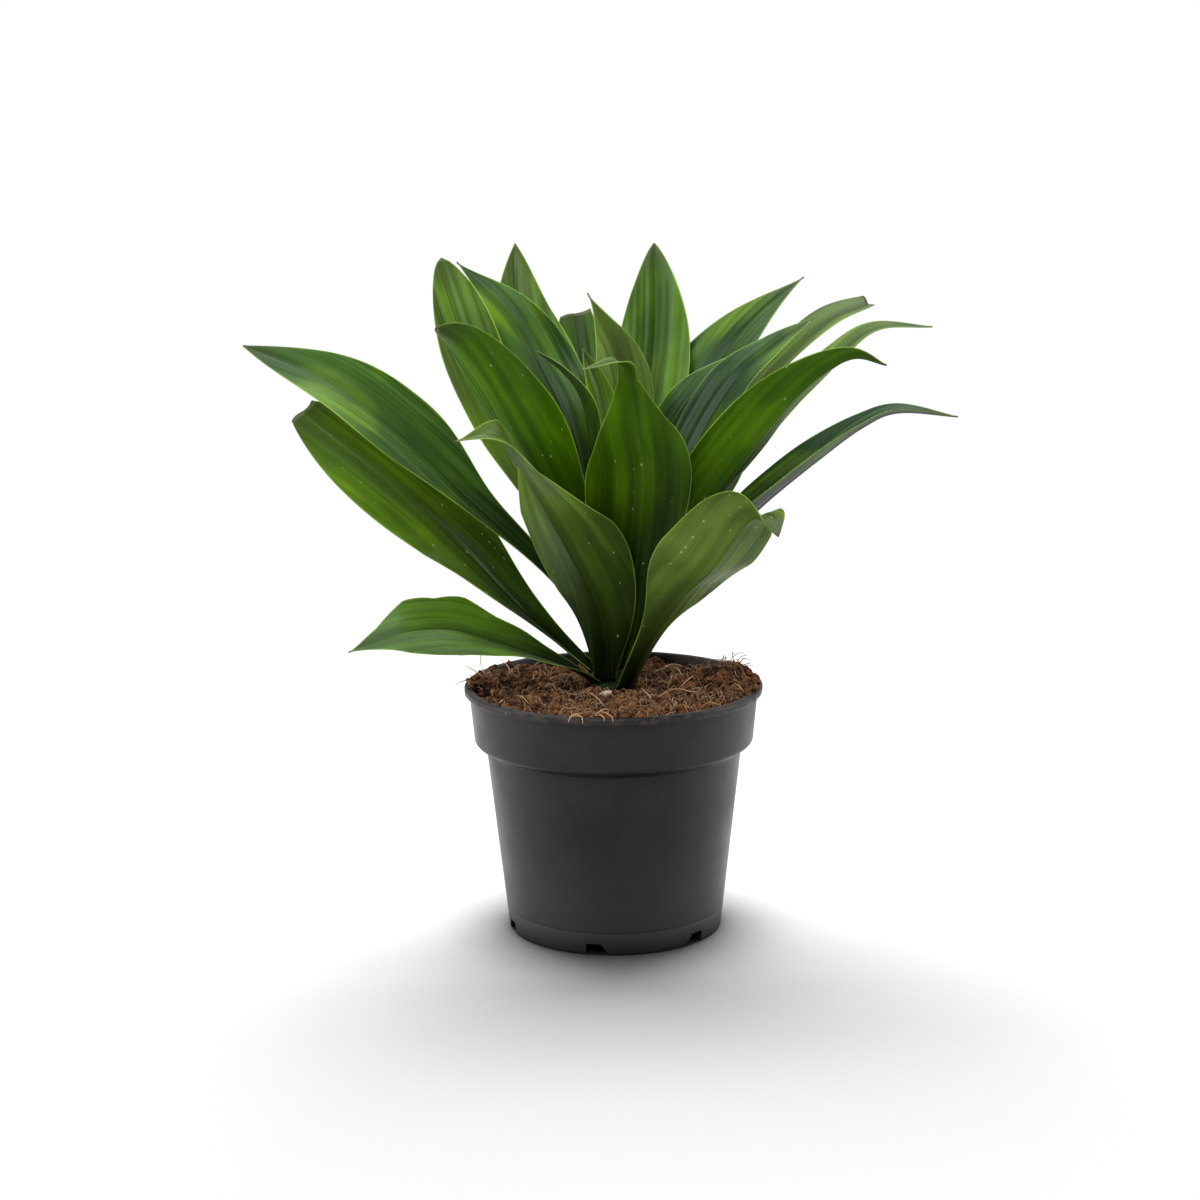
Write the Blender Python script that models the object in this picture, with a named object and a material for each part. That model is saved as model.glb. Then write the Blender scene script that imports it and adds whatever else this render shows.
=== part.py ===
"""Potted dracaena: a compact plant of broad leaves on a short green cane, in a 12 cm nursery pot.

Blender works in metres. The sizes below are in millimetres, as they would be measured on the plant,
and MM turns them into metres when a mesh is made. The origin is the centre of the pot's underside,
+Z is up and -Y is the front.
"""

import math
from dataclasses import dataclass

import bmesh
import bpy
import numpy as np
from mathutils import Vector

MM = 0.001
GAP = 0.3

# Pot
POT_HEIGHT = 100.0
RIM_RADIUS = 60.0
RIM_HEIGHT = 3.0
COLLAR_TOP_RADIUS = 58.0
COLLAR_BOTTOM_RADIUS = 56.2
COLLAR_BOTTOM = 77.4
SHOULDER_RADIUS = 51.5
SHOULDER = 74.6
FOOT_RADIUS = 43.2
WALL = 1.2
FLOOR = 1.4
LIP_EDGE = 0.8
SHOULDER_EDGE = 1.2
POT_SIDES = 60
CUTTER_OVERRUN = 1.0

# Drainage notches in the foot, and the low tunnels behind them on the inside of the floor
NOTCH_COUNT = 6
NOTCH_FIRST_HEADING = 18.0
NOTCH_HEIGHT = 4.6
NOTCH_TOP_WIDTH = 6.0
NOTCH_SLANT = 3.4
TUNNEL_INNER_RADIUS = 27.0
TUNNEL_ROOF = 1.2
DRAIN_HOLE_RADIUS = 2.2
DRAIN_HOLE_AT = 33.0
DRAIN_HOLE_SIDES = 12

# Soil
SOIL_LEVEL = 95.5
SOIL_SIDES = 60
SOIL_SIDE_GAP = 0.4
SOIL_EDGE = 1.4
SOIL_RINGS = (12.0, 19.0, 27.0, 35.0, 43.0, 50.0)
SOIL_HEAPS = (
    # across, along, height, spread
    (-42.0, 14.0, 3.0, 15.0),
    (43.0, 12.0, 2.8, 15.0),
    (4.0, -40.0, 1.2, 20.0),
    (-8.0, 40.0, -1.2, 18.0),
)
SOIL_LUMP = 0.55

# Stem: height and radius along the cane
STEM_PROFILE = (
    (60.3, 6.6),
    (80.0, 7.6),
    (94.0, 8.0),
    (104.0, 8.0),
    (118.0, 7.2),
    (134.0, 6.0),
    (150.0, 4.8),
    (163.0, 3.4),
    (170.0, 2.2),
)
STEM_TIP = 174.0
STEM_SIDES = 20
STEM_HOLE_BOTTOM = 60.0

# Leaf blades
LEAF_RINGS = 13
LEAF_ACROSS = (-1.0, -0.55, 0.0, 0.55, 1.0)
RIB_THICKNESS = 1.0
EDGE_THICKNESS = 0.7
SEAT_GAP = 0.45
BASE_WIDTH = 10.5
BASE_FOLD = 23.0
FOLD_STATION = 0.35
KEEL_STATION = 0.3
TIP_WIDTH = 1.2
BEAK_TAPER = 0.12
WAVE_LAG = 1.3
CURVE_STEPS = 24


@dataclass
class Leaf:
    """One blade. Headings are in degrees, counter-clockwise from +X seen from above.

    It is rooted on the cane at a heading and height, and its midrib runs on through the rib points.
    roll turns it about its midrib, at even stations from root to tip. fold is how far each half
    is folded up from the midrib, a third of the way out and at the tip. widest is the share of the
    length where it is widest, and neck and point say how slowly it opens to there and how sharply it
    ends. beak is the width of a long narrow end. kept is the share of its length that is left where
    its end was cut off.
    """

    name: str
    heading: float
    root: float
    rib: tuple
    width: float
    roll: tuple = (0.0, 0.0)
    fold: tuple = (20.0, 12.0)
    widest: float = 0.6
    neck: float = 2.6
    point: float = 0.85
    beak: float = 0.0
    wave: float = 0.0
    waves: float = 2.0
    kept: float = 1.0


LEAVES = (
    Leaf("leaf_left_droop", heading=203, root=101, width=31,
         rib=((-17, -9.5, 108), (-33, -19, 117), (-46, -25, 123), (-64, -31, 129), (-82, -37, 129),
              (-102, -42, 123)),
         roll=(0, -20, -30, -45, -45, -25), fold=(20, 10), widest=0.64, neck=4.0, point=1.3, wave=1.0,
         waves=1.5),
    Leaf("leaf_front_right", heading=310, root=99, width=43.5,
         rib=((14, -21, 120), (27, -41, 143.5), (36.5, -54, 155.5), (51.5, -66, 177.5), (60.5, -78, 173)),
         roll=(0, -12, -24, -26, -36, 3), fold=(26, 31), widest=0.63, neck=5.0, point=0.6),
    Leaf("leaf_rear_low", heading=84, root=100, width=38,
         rib=((6, 36, 128), (10, 75, 146), (12, 112, 150))),
    Leaf("leaf_left_low", heading=166, root=104, width=40,
         rib=((-20, 6, 114), (-39, 14, 130), (-59, 22, 150), (-86, 30, 174.5), (-127, 38, 206.5)),
         roll=(0, -45, -45), fold=(16, 8), widest=0.66, neck=2.3, point=0.75, kept=0.95),
    Leaf("leaf_front_left", heading=243, root=103, width=48,
         rib=((-6, -19, 130), (-15, -32, 155), (-36, -58, 199), (-43, -72, 211), (-57, -84, 210)),
         roll=(0, 5, -8, -45, -50), fold=(20, 15), widest=0.47, neck=1.35, point=1.4),
    Leaf("leaf_right_low", heading=355, root=104, width=33,
         rib=((20, -2, 130), (37, -3, 150), (60, -5, 173), (82, -7, 191.5), (98, -8, 203.5), (112, -9, 209.5),
              (135, -12, 208)),
         roll=(0, 6, 6), fold=(27, 20), widest=0.5, neck=2.8, point=1.0),
    Leaf("leaf_rear_low_left", heading=114, root=107, width=36,
         rib=((-10, 34, 142), (-20, 66, 172), (-24, 100, 188))),
    Leaf("leaf_front", heading=280, root=108, width=43.5,
         rib=((6, -18, 133), (11, -42, 185), (8.5, -54, 209), (6, -61, 226), (3, -68, 236), (-11, -80, 235)),
         roll=(0, 0, 0, 0, 0, 0, 0, 0, -10, -50, -55), fold=(18, 20), widest=0.52, neck=1.8, point=2.8,
         beak=8.0),
    Leaf("leaf_rear_low_right", heading=50, root=109, width=36,
         rib=((24, 30, 146), (44, 56, 176), (60, 80, 196))),
    Leaf("leaf_left_high", heading=180, root=111, width=38,
         rib=((-15, 3, 130), (-35, 8, 153), (-60, 12, 176), (-86, 16, 201), (-112, 19, 220), (-147, 21, 235)),
         roll=(0, -45, -42, -48), fold=(22, 6), widest=0.63, neck=8.0, point=0.9),
    Leaf("leaf_right_mid", heading=330, root=113, width=40,
         rib=((16, -10, 138), (37, -19, 175), (55, -28, 201), (74, -35, 223), (90, -41, 234),
              (103, -46, 232)),
         roll=(0, -18, -15), fold=(24, 24), widest=0.58, neck=3.6, point=0.9),
    Leaf("leaf_mid_left", heading=215, root=119, width=46,
         rib=((-19, -18, 163), (-31, -25, 192), (-44, -31, 218.5), (-56, -36, 238), (-66, -39, 247)),
         roll=(0, 10, 10), fold=(22, 18), widest=0.66, neck=2.5, point=0.5),
    Leaf("leaf_back_left_tall", heading=144, root=118, width=34,
         rib=((-15, 14, 148), (-33, 34, 178), (-48.5, 54, 208), (-60, 70, 234), (-71, 86, 265)),
         roll=(0, -25, -25), fold=(15, 10), widest=0.66, point=0.6),
    Leaf("leaf_right_thin", heading=15, root=119, width=23,
         rib=((28, 12, 160), (57, 22, 190), (77, 28, 212), (93, 32, 228), (108, 35, 238), (131, 38, 238.5)),
         roll=(0, 8, 8)),
    Leaf("leaf_rear_mid", heading=82, root=122, width=34,
         rib=((4, 38, 162), (6, 70, 190), (8, 98, 204))),
    Leaf("leaf_right_cut", heading=40, root=126, width=21,
         rib=((20, 30, 169), (43, 50, 190), (63, 62, 212), (77, 68, 226), (93, 74, 238.5), (110, 78, 245)),
         widest=0.8, neck=4.5, kept=0.92),
    Leaf("leaf_back_cut", heading=108, root=130, width=25,
         rib=((-7, 56, 198), (-12, 76, 221), (-15, 90, 241)),
         neck=3.5, kept=0.86),
    Leaf("leaf_right_inner_dark", heading=16, root=132, width=24,
         rib=((19, 5, 157), (34, 14, 194), (50, 22, 219), (66, 30, 232), (82, 38, 242)),
         roll=(0, 30, 25)),
    Leaf("leaf_back_left", heading=125, root=134, width=34,
         rib=((-19, 38, 189), (-29, 55, 220), (-37, 68, 244), (-39.5, 82, 271)),
         roll=(0, -10, -10)),
    Leaf("leaf_back_right", heading=55, root=141, width=37,
         rib=((30, 44, 197), (42, 52, 218.5), (54, 60, 234), (67, 69, 245.5), (82, 80, 256)),
         widest=0.5, point=1.2),
    Leaf("leaf_left_inner_dark", heading=157, root=139, width=31,
         rib=((-16, 20, 196), (-28, 30, 224), (-41, 36, 246), (-62, 43, 266)),
         roll=(0, -40, -40), neck=3.5, point=1.25),
    Leaf("leaf_back_tall", heading=85, root=145, width=33,
         rib=((14, 45, 201), (18.5, 60, 228), (19.5, 70, 250), (19, 77, 271)),
         point=0.75),
    Leaf("leaf_right_inner_light", heading=48, root=148, width=20,
         rib=((13, 22, 179), (23, 32, 197), (35, 38, 213), (56, 46, 229))),
    Leaf("leaf_left_inner_small", heading=195, root=151, width=20,
         rib=((-8, -5, 180), (-9, -7, 203), (-12, -8, 217), (-19, -9, 227), (-29, -10, 235))),
    Leaf("leaf_centre_dark", heading=85, root=154, width=24,
         rib=((6, 18, 204), (4, 23, 226), (-3, 27, 243), (-9, 30, 254)),
         point=1.5),
    Leaf("leaf_centre_small", heading=120, root=160, width=13,
         rib=((-1, 10, 190), (-4, 15, 213), (-11, 18, 233)),
         roll=(0, -15, -15)),
)


def remove_everything():
    for thing in list(bpy.data.objects):
        bpy.data.objects.remove(thing, do_unlink=True)


def make_material(name, colour, roughness, metallic=0.0):
    material = bpy.data.materials.new(name)
    material.use_nodes = True
    shader = material.node_tree.nodes["Principled BSDF"]
    shader.inputs["Base Color"].default_value = (*colour, 1.0)
    shader.inputs["Roughness"].default_value = roughness
    shader.inputs["Metallic"].default_value = metallic
    return material


def add_object(name, points, faces, material, smooth_angle=40.0):
    """Make one named object from points in millimetres and its faces."""
    mesh = bpy.data.meshes.new(name)
    mesh.from_pydata([Vector(point) * MM for point in points], [], faces)
    tidy = bmesh.new()
    tidy.from_mesh(mesh)
    bmesh.ops.recalc_face_normals(tidy, faces=tidy.faces)
    tidy.to_mesh(mesh)
    tidy.free()
    mesh.materials.append(material)
    mesh.shade_smooth()
    mesh.set_sharp_from_angle(angle=math.radians(smooth_angle))
    thing = bpy.data.objects.new(name, mesh)
    bpy.context.scene.collection.objects.link(thing)
    return thing


def turn_profile(profile, sides):
    """Turn a radius-height profile that starts and ends on the Z axis."""
    points = [(0.0, 0.0, profile[0][1]), (0.0, 0.0, profile[-1][1])]
    faces = []
    rows = profile[1:-1]
    for step in range(sides):
        angle = 2.0 * math.pi * step / sides
        for radius, height in rows:
            points.append((radius * math.cos(angle), radius * math.sin(angle), height))
    for step in range(sides):
        here = 2 + step * len(rows)
        there = 2 + (step + 1) % sides * len(rows)
        faces.append((0, there, here))
        for row in range(len(rows) - 1):
            faces.append((here + row, there + row, there + row + 1, here + row + 1))
        faces.append((1, here + len(rows) - 1, there + len(rows) - 1))
    return points, faces


def prism(outline, heading, inner, outer, points, faces):
    """Add a bar that runs out along a heading, from its end outline of (sideways, height) points."""
    angle = math.radians(heading)
    out = (math.cos(angle), math.sin(angle))
    count = len(outline)
    first = len(points)
    for distance in (inner, outer):
        for aside, height in outline:
            points.append((out[0] * distance - out[1] * aside, out[1] * distance + out[0] * aside, height))
    faces.append(tuple(first + step for step in range(count)))
    faces.append(tuple(first + count + step for step in reversed(range(count))))
    for step in range(count):
        after = (step + 1) % count
        faces.append((first + after, first + step, first + count + step, first + count + after))


def combine(thing, other, operation):
    """Cut one object with another, or join them; the other is then only a guide."""
    other.display_type = "WIRE"
    other.hide_render = True
    boolean = thing.modifiers.new(other.name, "BOOLEAN")
    boolean.operation = operation
    boolean.solver = "EXACT"
    boolean.object = other


def pot_inner_radius(height):
    """Radius of the pot's inner face at a height."""
    heights = (0.0, SHOULDER - SHOULDER_EDGE, COLLAR_BOTTOM, POT_HEIGHT)
    radii = (FOOT_RADIUS, SHOULDER_RADIUS, COLLAR_BOTTOM_RADIUS, COLLAR_TOP_RADIUS)
    return float(np.interp(height, heights, radii)) - WALL


def stem_radius(height):
    heights = [row[0] for row in STEM_PROFILE]
    radii = [row[1] for row in STEM_PROFILE]
    return float(np.interp(height, heights, radii))


def smooth_path(points, count):
    """Points evenly spaced along a smooth curve through the given ones (Catmull-Rom)."""
    knots = np.array(points, dtype=float)
    first = 2.0 * knots[0] - knots[1]
    last = 2.0 * knots[-1] - knots[-2]
    knots = np.vstack([first, knots, last])
    dense = []
    for index in range(1, len(knots) - 2):
        p0, p1, p2, p3 = knots[index - 1:index + 3]
        for share in np.linspace(0.0, 1.0, CURVE_STEPS, endpoint=False):
            dense.append(0.5 * (2.0 * p1 + (p2 - p0) * share
                                + (2.0 * p0 - 5.0 * p1 + 4.0 * p2 - p3) * share ** 2
                                + (3.0 * p1 - p0 - 3.0 * p2 + p3) * share ** 3))
    dense.append(knots[-2])
    dense = np.array(dense)
    steps = np.linalg.norm(np.diff(dense, axis=0), axis=1)
    run = np.concatenate([[0.0], np.cumsum(steps)])
    wanted = np.linspace(0.0, run[-1], count)
    return np.stack([np.interp(wanted, run, dense[:, axis]) for axis in range(3)], axis=1)


def unit(vector):
    return vector / np.linalg.norm(vector)


def rib_frames(path, heading, roll):
    """Side and upper-face directions along the rib, turned as little as the curve allows."""
    angle = math.radians(heading)
    side = np.array([-math.sin(angle), math.cos(angle), 0.0])
    tangents = np.gradient(path, axis=0)
    count = len(path)
    frames = []
    for index in range(count):
        along = unit(tangents[index])
        side = unit(side - along * np.dot(side, along))
        upper = np.cross(along, side)
        share = index / (count - 1)
        turn = math.radians(np.interp(share, np.linspace(0.0, 1.0, len(roll)), roll))
        frames.append((side * math.cos(turn) + upper * math.sin(turn),
                       upper * math.cos(turn) - side * math.sin(turn)))
    return frames


def half_width(leaf, share):
    """Half of the blade's width at a share of its length."""
    share = share * leaf.kept
    base = BASE_WIDTH / leaf.width
    if share < leaf.widest:
        rise = math.sin(0.5 * math.pi * share / leaf.widest)
        width = base + (1.0 - base) * rise ** leaf.neck
    else:
        fall = math.cos(0.5 * math.pi * (share - leaf.widest) / (1.0 - leaf.widest))
        width = max(fall, 0.0) ** leaf.point
    beak = leaf.beak * min((1.0 - share) / BEAK_TAPER, 1.0)
    return 0.5 * max(leaf.width * width, beak, TIP_WIDTH)


def leaf_surface(leaf, rings, across):
    """Rows of (middle point, upper direction) across the blade, from the root to the tip.

    The blade clasps the cane in a round hollow at its root and opens into a keel further out.
    """
    angle = math.radians(leaf.heading)
    seat = stem_radius(leaf.root) + SEAT_GAP + 0.5 * RIB_THICKNESS
    root = (seat * math.cos(angle), seat * math.sin(angle), leaf.root)
    path = smooth_path((root, *leaf.rib), rings)
    frames = rib_frames(path, leaf.heading, leaf.roll)
    rows = []
    for index in range(rings):
        share = index / (rings - 1)
        side, upper = frames[index]
        half = half_width(leaf, share)
        fold = math.radians(np.interp(share, (0.0, FOLD_STATION, 1.0), (BASE_FOLD, *leaf.fold)))
        keel = min(share / KEEL_STATION, 1.0)
        swing = leaf.wave * math.sin(math.pi * share)
        row = []
        for place in across:
            bow = 2.0 * fold * abs(place)
            out = (1.0 - keel) * math.sin(bow) / (2.0 * fold) + keel * abs(place) * math.cos(fold)
            rise = (1.0 - keel) * (1.0 - math.cos(bow)) / (2.0 * fold) + keel * abs(place) * math.sin(fold)
            tilt = (1.0 - keel) * bow + keel * fold
            sign = math.copysign(1.0, place) if place else 0.0
            turn = 2.0 * math.pi * leaf.waves * share + WAVE_LAG * sign
            ripple = swing * place * place * math.sin(turn)
            point = path[index] + side * (sign * out * half) + upper * (rise * half + ripple)
            row.append((point, unit(upper * math.cos(tilt) - side * (sign * math.sin(tilt)))))
        rows.append(row)
    return rows


def make_leaf(leaf, material):
    rows = leaf_surface(leaf, LEAF_RINGS, LEAF_ACROSS)
    columns = len(LEAF_ACROSS)
    points = []
    for row in rows:
        for place, (point, upper) in zip(LEAF_ACROSS, row):
            thickness = RIB_THICKNESS + (EDGE_THICKNESS - RIB_THICKNESS) * abs(place)
            points.append(point + upper * 0.5 * thickness)
            points.append(point - upper * 0.5 * thickness)

    def top(ring, column):
        return 2 * (ring * columns + column)

    def under(ring, column):
        return top(ring, column) + 1

    faces = []
    last = len(rows) - 1
    for ring in range(last):
        after = ring + 1
        for column in range(columns - 1):
            for face in (top, under):
                near = (face(ring, column), face(ring, column + 1))
                far = (face(after, column), face(after, column + 1))
                if column < columns // 2:
                    faces += [(near[0], near[1], far[0]), (near[1], far[1], far[0])]
                else:
                    faces += [(near[0], near[1], far[1]), (near[0], far[1], far[0])]
        for column in (0, columns - 1):
            faces.append((top(ring, column), under(ring, column), under(after, column), top(after, column)))
    for ring in (0, last):
        for column in range(columns - 1):
            beside = column + 1
            faces.append((top(ring, column), top(ring, beside), under(ring, beside), under(ring, column)))
    return add_object(leaf.name, points, faces, material, smooth_angle=60.0)


def notch_bars(name, margin, inner, outer, bottom, material):
    """One bar at each drainage notch: upright on one side, slanted on the other, in mirrored pairs."""
    half = 0.5 * NOTCH_TOP_WIDTH + margin
    top = NOTCH_HEIGHT + margin
    foot = half + NOTCH_SLANT * (top - bottom) / NOTCH_HEIGHT
    points = []
    faces = []
    for number in range(NOTCH_COUNT):
        heading = NOTCH_FIRST_HEADING + 360.0 * number / NOTCH_COUNT
        mirror = 1.0 if number % 2 == 0 else -1.0
        outline = ((-half, bottom), (foot, bottom), (half, top), (-half, top))
        prism([(mirror * aside, height) for aside, height in outline], heading, inner, outer, points, faces)
    return add_object(name, points, faces, material)


def drain_holes(material):
    """Upright round cutters, one through the roof of each tunnel."""
    low = NOTCH_HEIGHT - CUTTER_OVERRUN
    high = NOTCH_HEIGHT + TUNNEL_ROOF + CUTTER_OVERRUN
    profile = ((0.0, low), (DRAIN_HOLE_RADIUS, low), (DRAIN_HOLE_RADIUS, high), (0.0, high))
    hole_points, hole_faces = turn_profile(profile, DRAIN_HOLE_SIDES)
    points = []
    faces = []
    for number in range(NOTCH_COUNT):
        angle = math.radians(NOTCH_FIRST_HEADING + 360.0 * number / NOTCH_COUNT)
        across = DRAIN_HOLE_AT * math.cos(angle)
        along = DRAIN_HOLE_AT * math.sin(angle)
        first = len(points)
        points += [(x + across, y + along, z) for x, y, z in hole_points]
        faces += [tuple(first + corner for corner in face) for face in hole_faces]
    return add_object("guide_drain_holes", points, faces, material)


def make_pot(material):
    lip_bottom = POT_HEIGHT - RIM_HEIGHT
    inner_top = COLLAR_TOP_RADIUS - WALL
    profile = (
        (0.0, 0.0),
        (FOOT_RADIUS - LIP_EDGE, 0.0),
        (FOOT_RADIUS, LIP_EDGE),
        (SHOULDER_RADIUS, SHOULDER),
        (COLLAR_BOTTOM_RADIUS - SHOULDER_EDGE, COLLAR_BOTTOM - SHOULDER_EDGE),
        (COLLAR_BOTTOM_RADIUS, COLLAR_BOTTOM),
        (COLLAR_TOP_RADIUS, lip_bottom),
        (RIM_RADIUS - LIP_EDGE, lip_bottom),
        (RIM_RADIUS, lip_bottom + LIP_EDGE),
        (RIM_RADIUS, POT_HEIGHT - LIP_EDGE),
        (RIM_RADIUS - LIP_EDGE, POT_HEIGHT),
        (inner_top + 0.5 * LIP_EDGE, POT_HEIGHT),
        (inner_top, POT_HEIGHT - 0.5 * LIP_EDGE),
        (COLLAR_BOTTOM_RADIUS - WALL, COLLAR_BOTTOM),
        (SHOULDER_RADIUS - WALL, SHOULDER - SHOULDER_EDGE),
        (pot_inner_radius(FLOOR), FLOOR),
        (0.0, FLOOR),
    )
    points, faces = turn_profile(profile, POT_SIDES)
    pot = add_object("pot", points, faces, material, smooth_angle=25.0)
    inner = TUNNEL_INNER_RADIUS
    within_wall = FOOT_RADIUS - 0.5 * WALL
    past_wall = FOOT_RADIUS + CUTTER_OVERRUN
    tunnels = notch_bars("guide_tunnels", TUNNEL_ROOF, inner, within_wall, 0.5 * FLOOR, material)
    notches = notch_bars("guide_notches", 0.0, inner + WALL, past_wall, -CUTTER_OVERRUN, material)
    combine(pot, tunnels, "UNION")
    combine(pot, notches, "DIFFERENCE")
    combine(pot, drain_holes(material), "DIFFERENCE")


def soil_lift(x, y):
    """How far the loose surface stands above its level: heaps near the rim, and small lumps."""
    lift = SOIL_LUMP * (math.sin(0.33 * x + 0.7) * math.cos(0.29 * y) + math.sin(0.21 * x - 0.37 * y))
    for across, along, height, spread in SOIL_HEAPS:
        lift += height * math.exp(-((x - across) ** 2 + (y - along) ** 2) / spread ** 2)
    return lift


def make_soil(material):
    hole = stem_radius(SOIL_LEVEL) + GAP
    edge = pot_inner_radius(SOIL_LEVEL) - SOIL_SIDE_GAP
    bottom = FLOOR + GAP
    profile = (
        (0.0, bottom),
        (pot_inner_radius(FLOOR) - SOIL_SIDE_GAP, bottom),
        (SHOULDER_RADIUS - WALL - SOIL_SIDE_GAP, SHOULDER - SHOULDER_EDGE),
        (COLLAR_BOTTOM_RADIUS - WALL - SOIL_SIDE_GAP, COLLAR_BOTTOM),
        (edge, SOIL_LEVEL - SOIL_EDGE),
        (edge - SOIL_EDGE, SOIL_LEVEL),
        *((radius, SOIL_LEVEL) for radius in reversed(SOIL_RINGS)),
        (hole, SOIL_LEVEL),
        (hole, STEM_HOLE_BOTTOM),
        (0.0, STEM_HOLE_BOTTOM),
    )
    points, faces = turn_profile(profile, SOIL_SIDES)
    points = [(x, y, z + soil_lift(x, y)) if z > COLLAR_BOTTOM else (x, y, z) for x, y, z in points]
    soil = add_object("soil", points, faces, material, smooth_angle=30.0)
    inner = TUNNEL_INNER_RADIUS - GAP
    outer = FOOT_RADIUS + CUTTER_OVERRUN
    room = notch_bars("guide_soil_room", TUNNEL_ROOF + GAP, inner, outer, 0.0, material)
    combine(soil, room, "DIFFERENCE")


def make_stem(material):
    profile = [(0.0, STEM_PROFILE[0][0])]
    profile += [(radius, height) for height, radius in STEM_PROFILE]
    profile.append((0.0, STEM_TIP))
    points, faces = turn_profile(profile, STEM_SIDES)
    add_object("stem", points, faces, material, smooth_angle=50.0)


def main():
    remove_everything()
    pot_plastic = make_material("pot_plastic", (0.026, 0.024, 0.028), 0.55)
    soil_brown = make_material("soil_brown", (0.075, 0.035, 0.018), 0.95)
    stem_green = make_material("stem_green", (0.06, 0.11, 0.03), 0.6)
    leaf_green = make_material("leaf_green", (0.03, 0.10, 0.018), 0.35)
    make_pot(pot_plastic)
    make_soil(soil_brown)
    make_stem(stem_green)
    for leaf in LEAVES:
        make_leaf(leaf, leaf_green)


main()
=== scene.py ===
"""Potted dracaena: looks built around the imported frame, with a studio floor, lights and a camera.

Blender works in metres. Lengths of the plant and pot are in millimetres, as in the part, and MM turns
them into metres when a mesh is made. The origin is the centre of the pot's underside, +Z is up and -Y
is the front.
"""

import random
from dataclasses import dataclass
from math import cos, exp, hypot, pi, radians, sin, sqrt, tau

import bmesh
import bpy
import numpy as np
from mathutils import Matrix, Vector, noise

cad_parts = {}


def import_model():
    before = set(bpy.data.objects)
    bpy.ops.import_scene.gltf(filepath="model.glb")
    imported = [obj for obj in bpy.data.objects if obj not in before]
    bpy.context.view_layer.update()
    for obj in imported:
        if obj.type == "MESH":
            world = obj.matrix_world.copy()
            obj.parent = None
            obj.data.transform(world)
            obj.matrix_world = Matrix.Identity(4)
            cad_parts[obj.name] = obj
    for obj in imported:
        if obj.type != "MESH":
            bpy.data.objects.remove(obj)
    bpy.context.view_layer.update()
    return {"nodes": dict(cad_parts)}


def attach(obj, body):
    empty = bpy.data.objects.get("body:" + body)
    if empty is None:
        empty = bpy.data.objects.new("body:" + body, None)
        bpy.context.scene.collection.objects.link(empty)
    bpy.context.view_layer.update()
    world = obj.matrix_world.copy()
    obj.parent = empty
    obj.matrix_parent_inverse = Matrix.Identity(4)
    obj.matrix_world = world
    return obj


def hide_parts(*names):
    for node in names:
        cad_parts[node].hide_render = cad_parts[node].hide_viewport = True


MM = 0.001

# Camera, fitted to the photograph
CAMERA_TARGET = (-5.1, 0.0, 134.1)
CAMERA_DISTANCE = 1000.0
CAMERA_PITCH = 11.44
CAMERA_ROLL = -0.53
LENS = 75.0
SENSOR = 36.0

# Lamps, in metres and watts; each lights the floor only, or everything but the floor
LAMP_TARGET = (0.0, 0.0, 0.15)
LAMPS = (
    # name, place, width, height, watts, what it lights
    ("light_behind", (-0.02, 0.69, 1.1), 1.8, 0.9, 33.0, "floor"),
    ("light_above", (-0.1, 0.25, 1.25), 1.2, 0.9, 9.5, "plant"),
    ("light_front", (-0.25, -0.8, 1.05), 1.0, 0.8, 14.0, "plant"),
    ("light_left", (-1.1, -0.05, 0.45), 0.5, 0.9, 7.5, "plant"),
    ("light_right", (1.1, 0.05, 0.45), 0.5, 0.9, 7.5, "plant"),
)
GROUND_RADIUS = 4000.0
GROUND_SIDES = 64
GROUND_LEVEL = -0.1

# Pot: the part's sizes, drawn with more sides and with round edges
POT_HEIGHT = 100.0
RIM_RADIUS = 60.0
RIM_HEIGHT = 3.0
COLLAR_TOP_RADIUS = 58.0
COLLAR_BOTTOM_RADIUS = 56.2
COLLAR_BOTTOM = 77.4
SHOULDER_RADIUS = 51.5
SHOULDER = 74.6
FOOT_RADIUS = 43.2
WALL = 1.2
FLOOR = 1.4
POT_SIDES = 240
ROUND_STEPS = 6
MOULD_LINE = 9.0
MOULD_LINE_DEPTH = 0.12
POT_SHARP_ANGLE = 32.0
OVERRUN = 1.0

# Drainage notches, and the tunnels behind them
NOTCH_COUNT = 6
NOTCH_FIRST_HEADING = 18.0
NOTCH_HEIGHT = 4.6
NOTCH_TOP_WIDTH = 6.0
NOTCH_SLANT = 3.4
TUNNEL_INNER_RADIUS = 27.0
TUNNEL_ROOF = 1.2
DRAIN_HOLE_RADIUS = 2.2
DRAIN_HOLE_AT = 33.0
DRAIN_HOLE_SIDES = 24

# Soil and cane, as in the part
SOIL_LEVEL = 95.5
SOIL_HEAPS = (
    # across, along, height, spread
    (-42, 14, 3, 15),
    (43, 12, 2.8, 15),
    (4, -40, 1.2, 20),
    (-8, 40, -1.2, 18),
)
SOIL_LUMP = 0.55
STEM_PROFILE = (
    # height, radius
    (60.3, 6.6), (80, 7.6), (94, 8), (104, 8), (118, 7.2),
    (134, 6), (150, 4.8), (163, 3.4), (170, 2.2),
)

# Leaf blades, as in the part
RIB_THICKNESS = 1.0
SEAT_GAP = 0.45
BASE_WIDTH = 10.5
BASE_FOLD = 23.0
FOLD_STATION = 0.35
KEEL_STATION = 0.3
WAVE_LAG = 1.3
CURVE_STEPS = 24
BEAK_TAPER = 0.12

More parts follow.
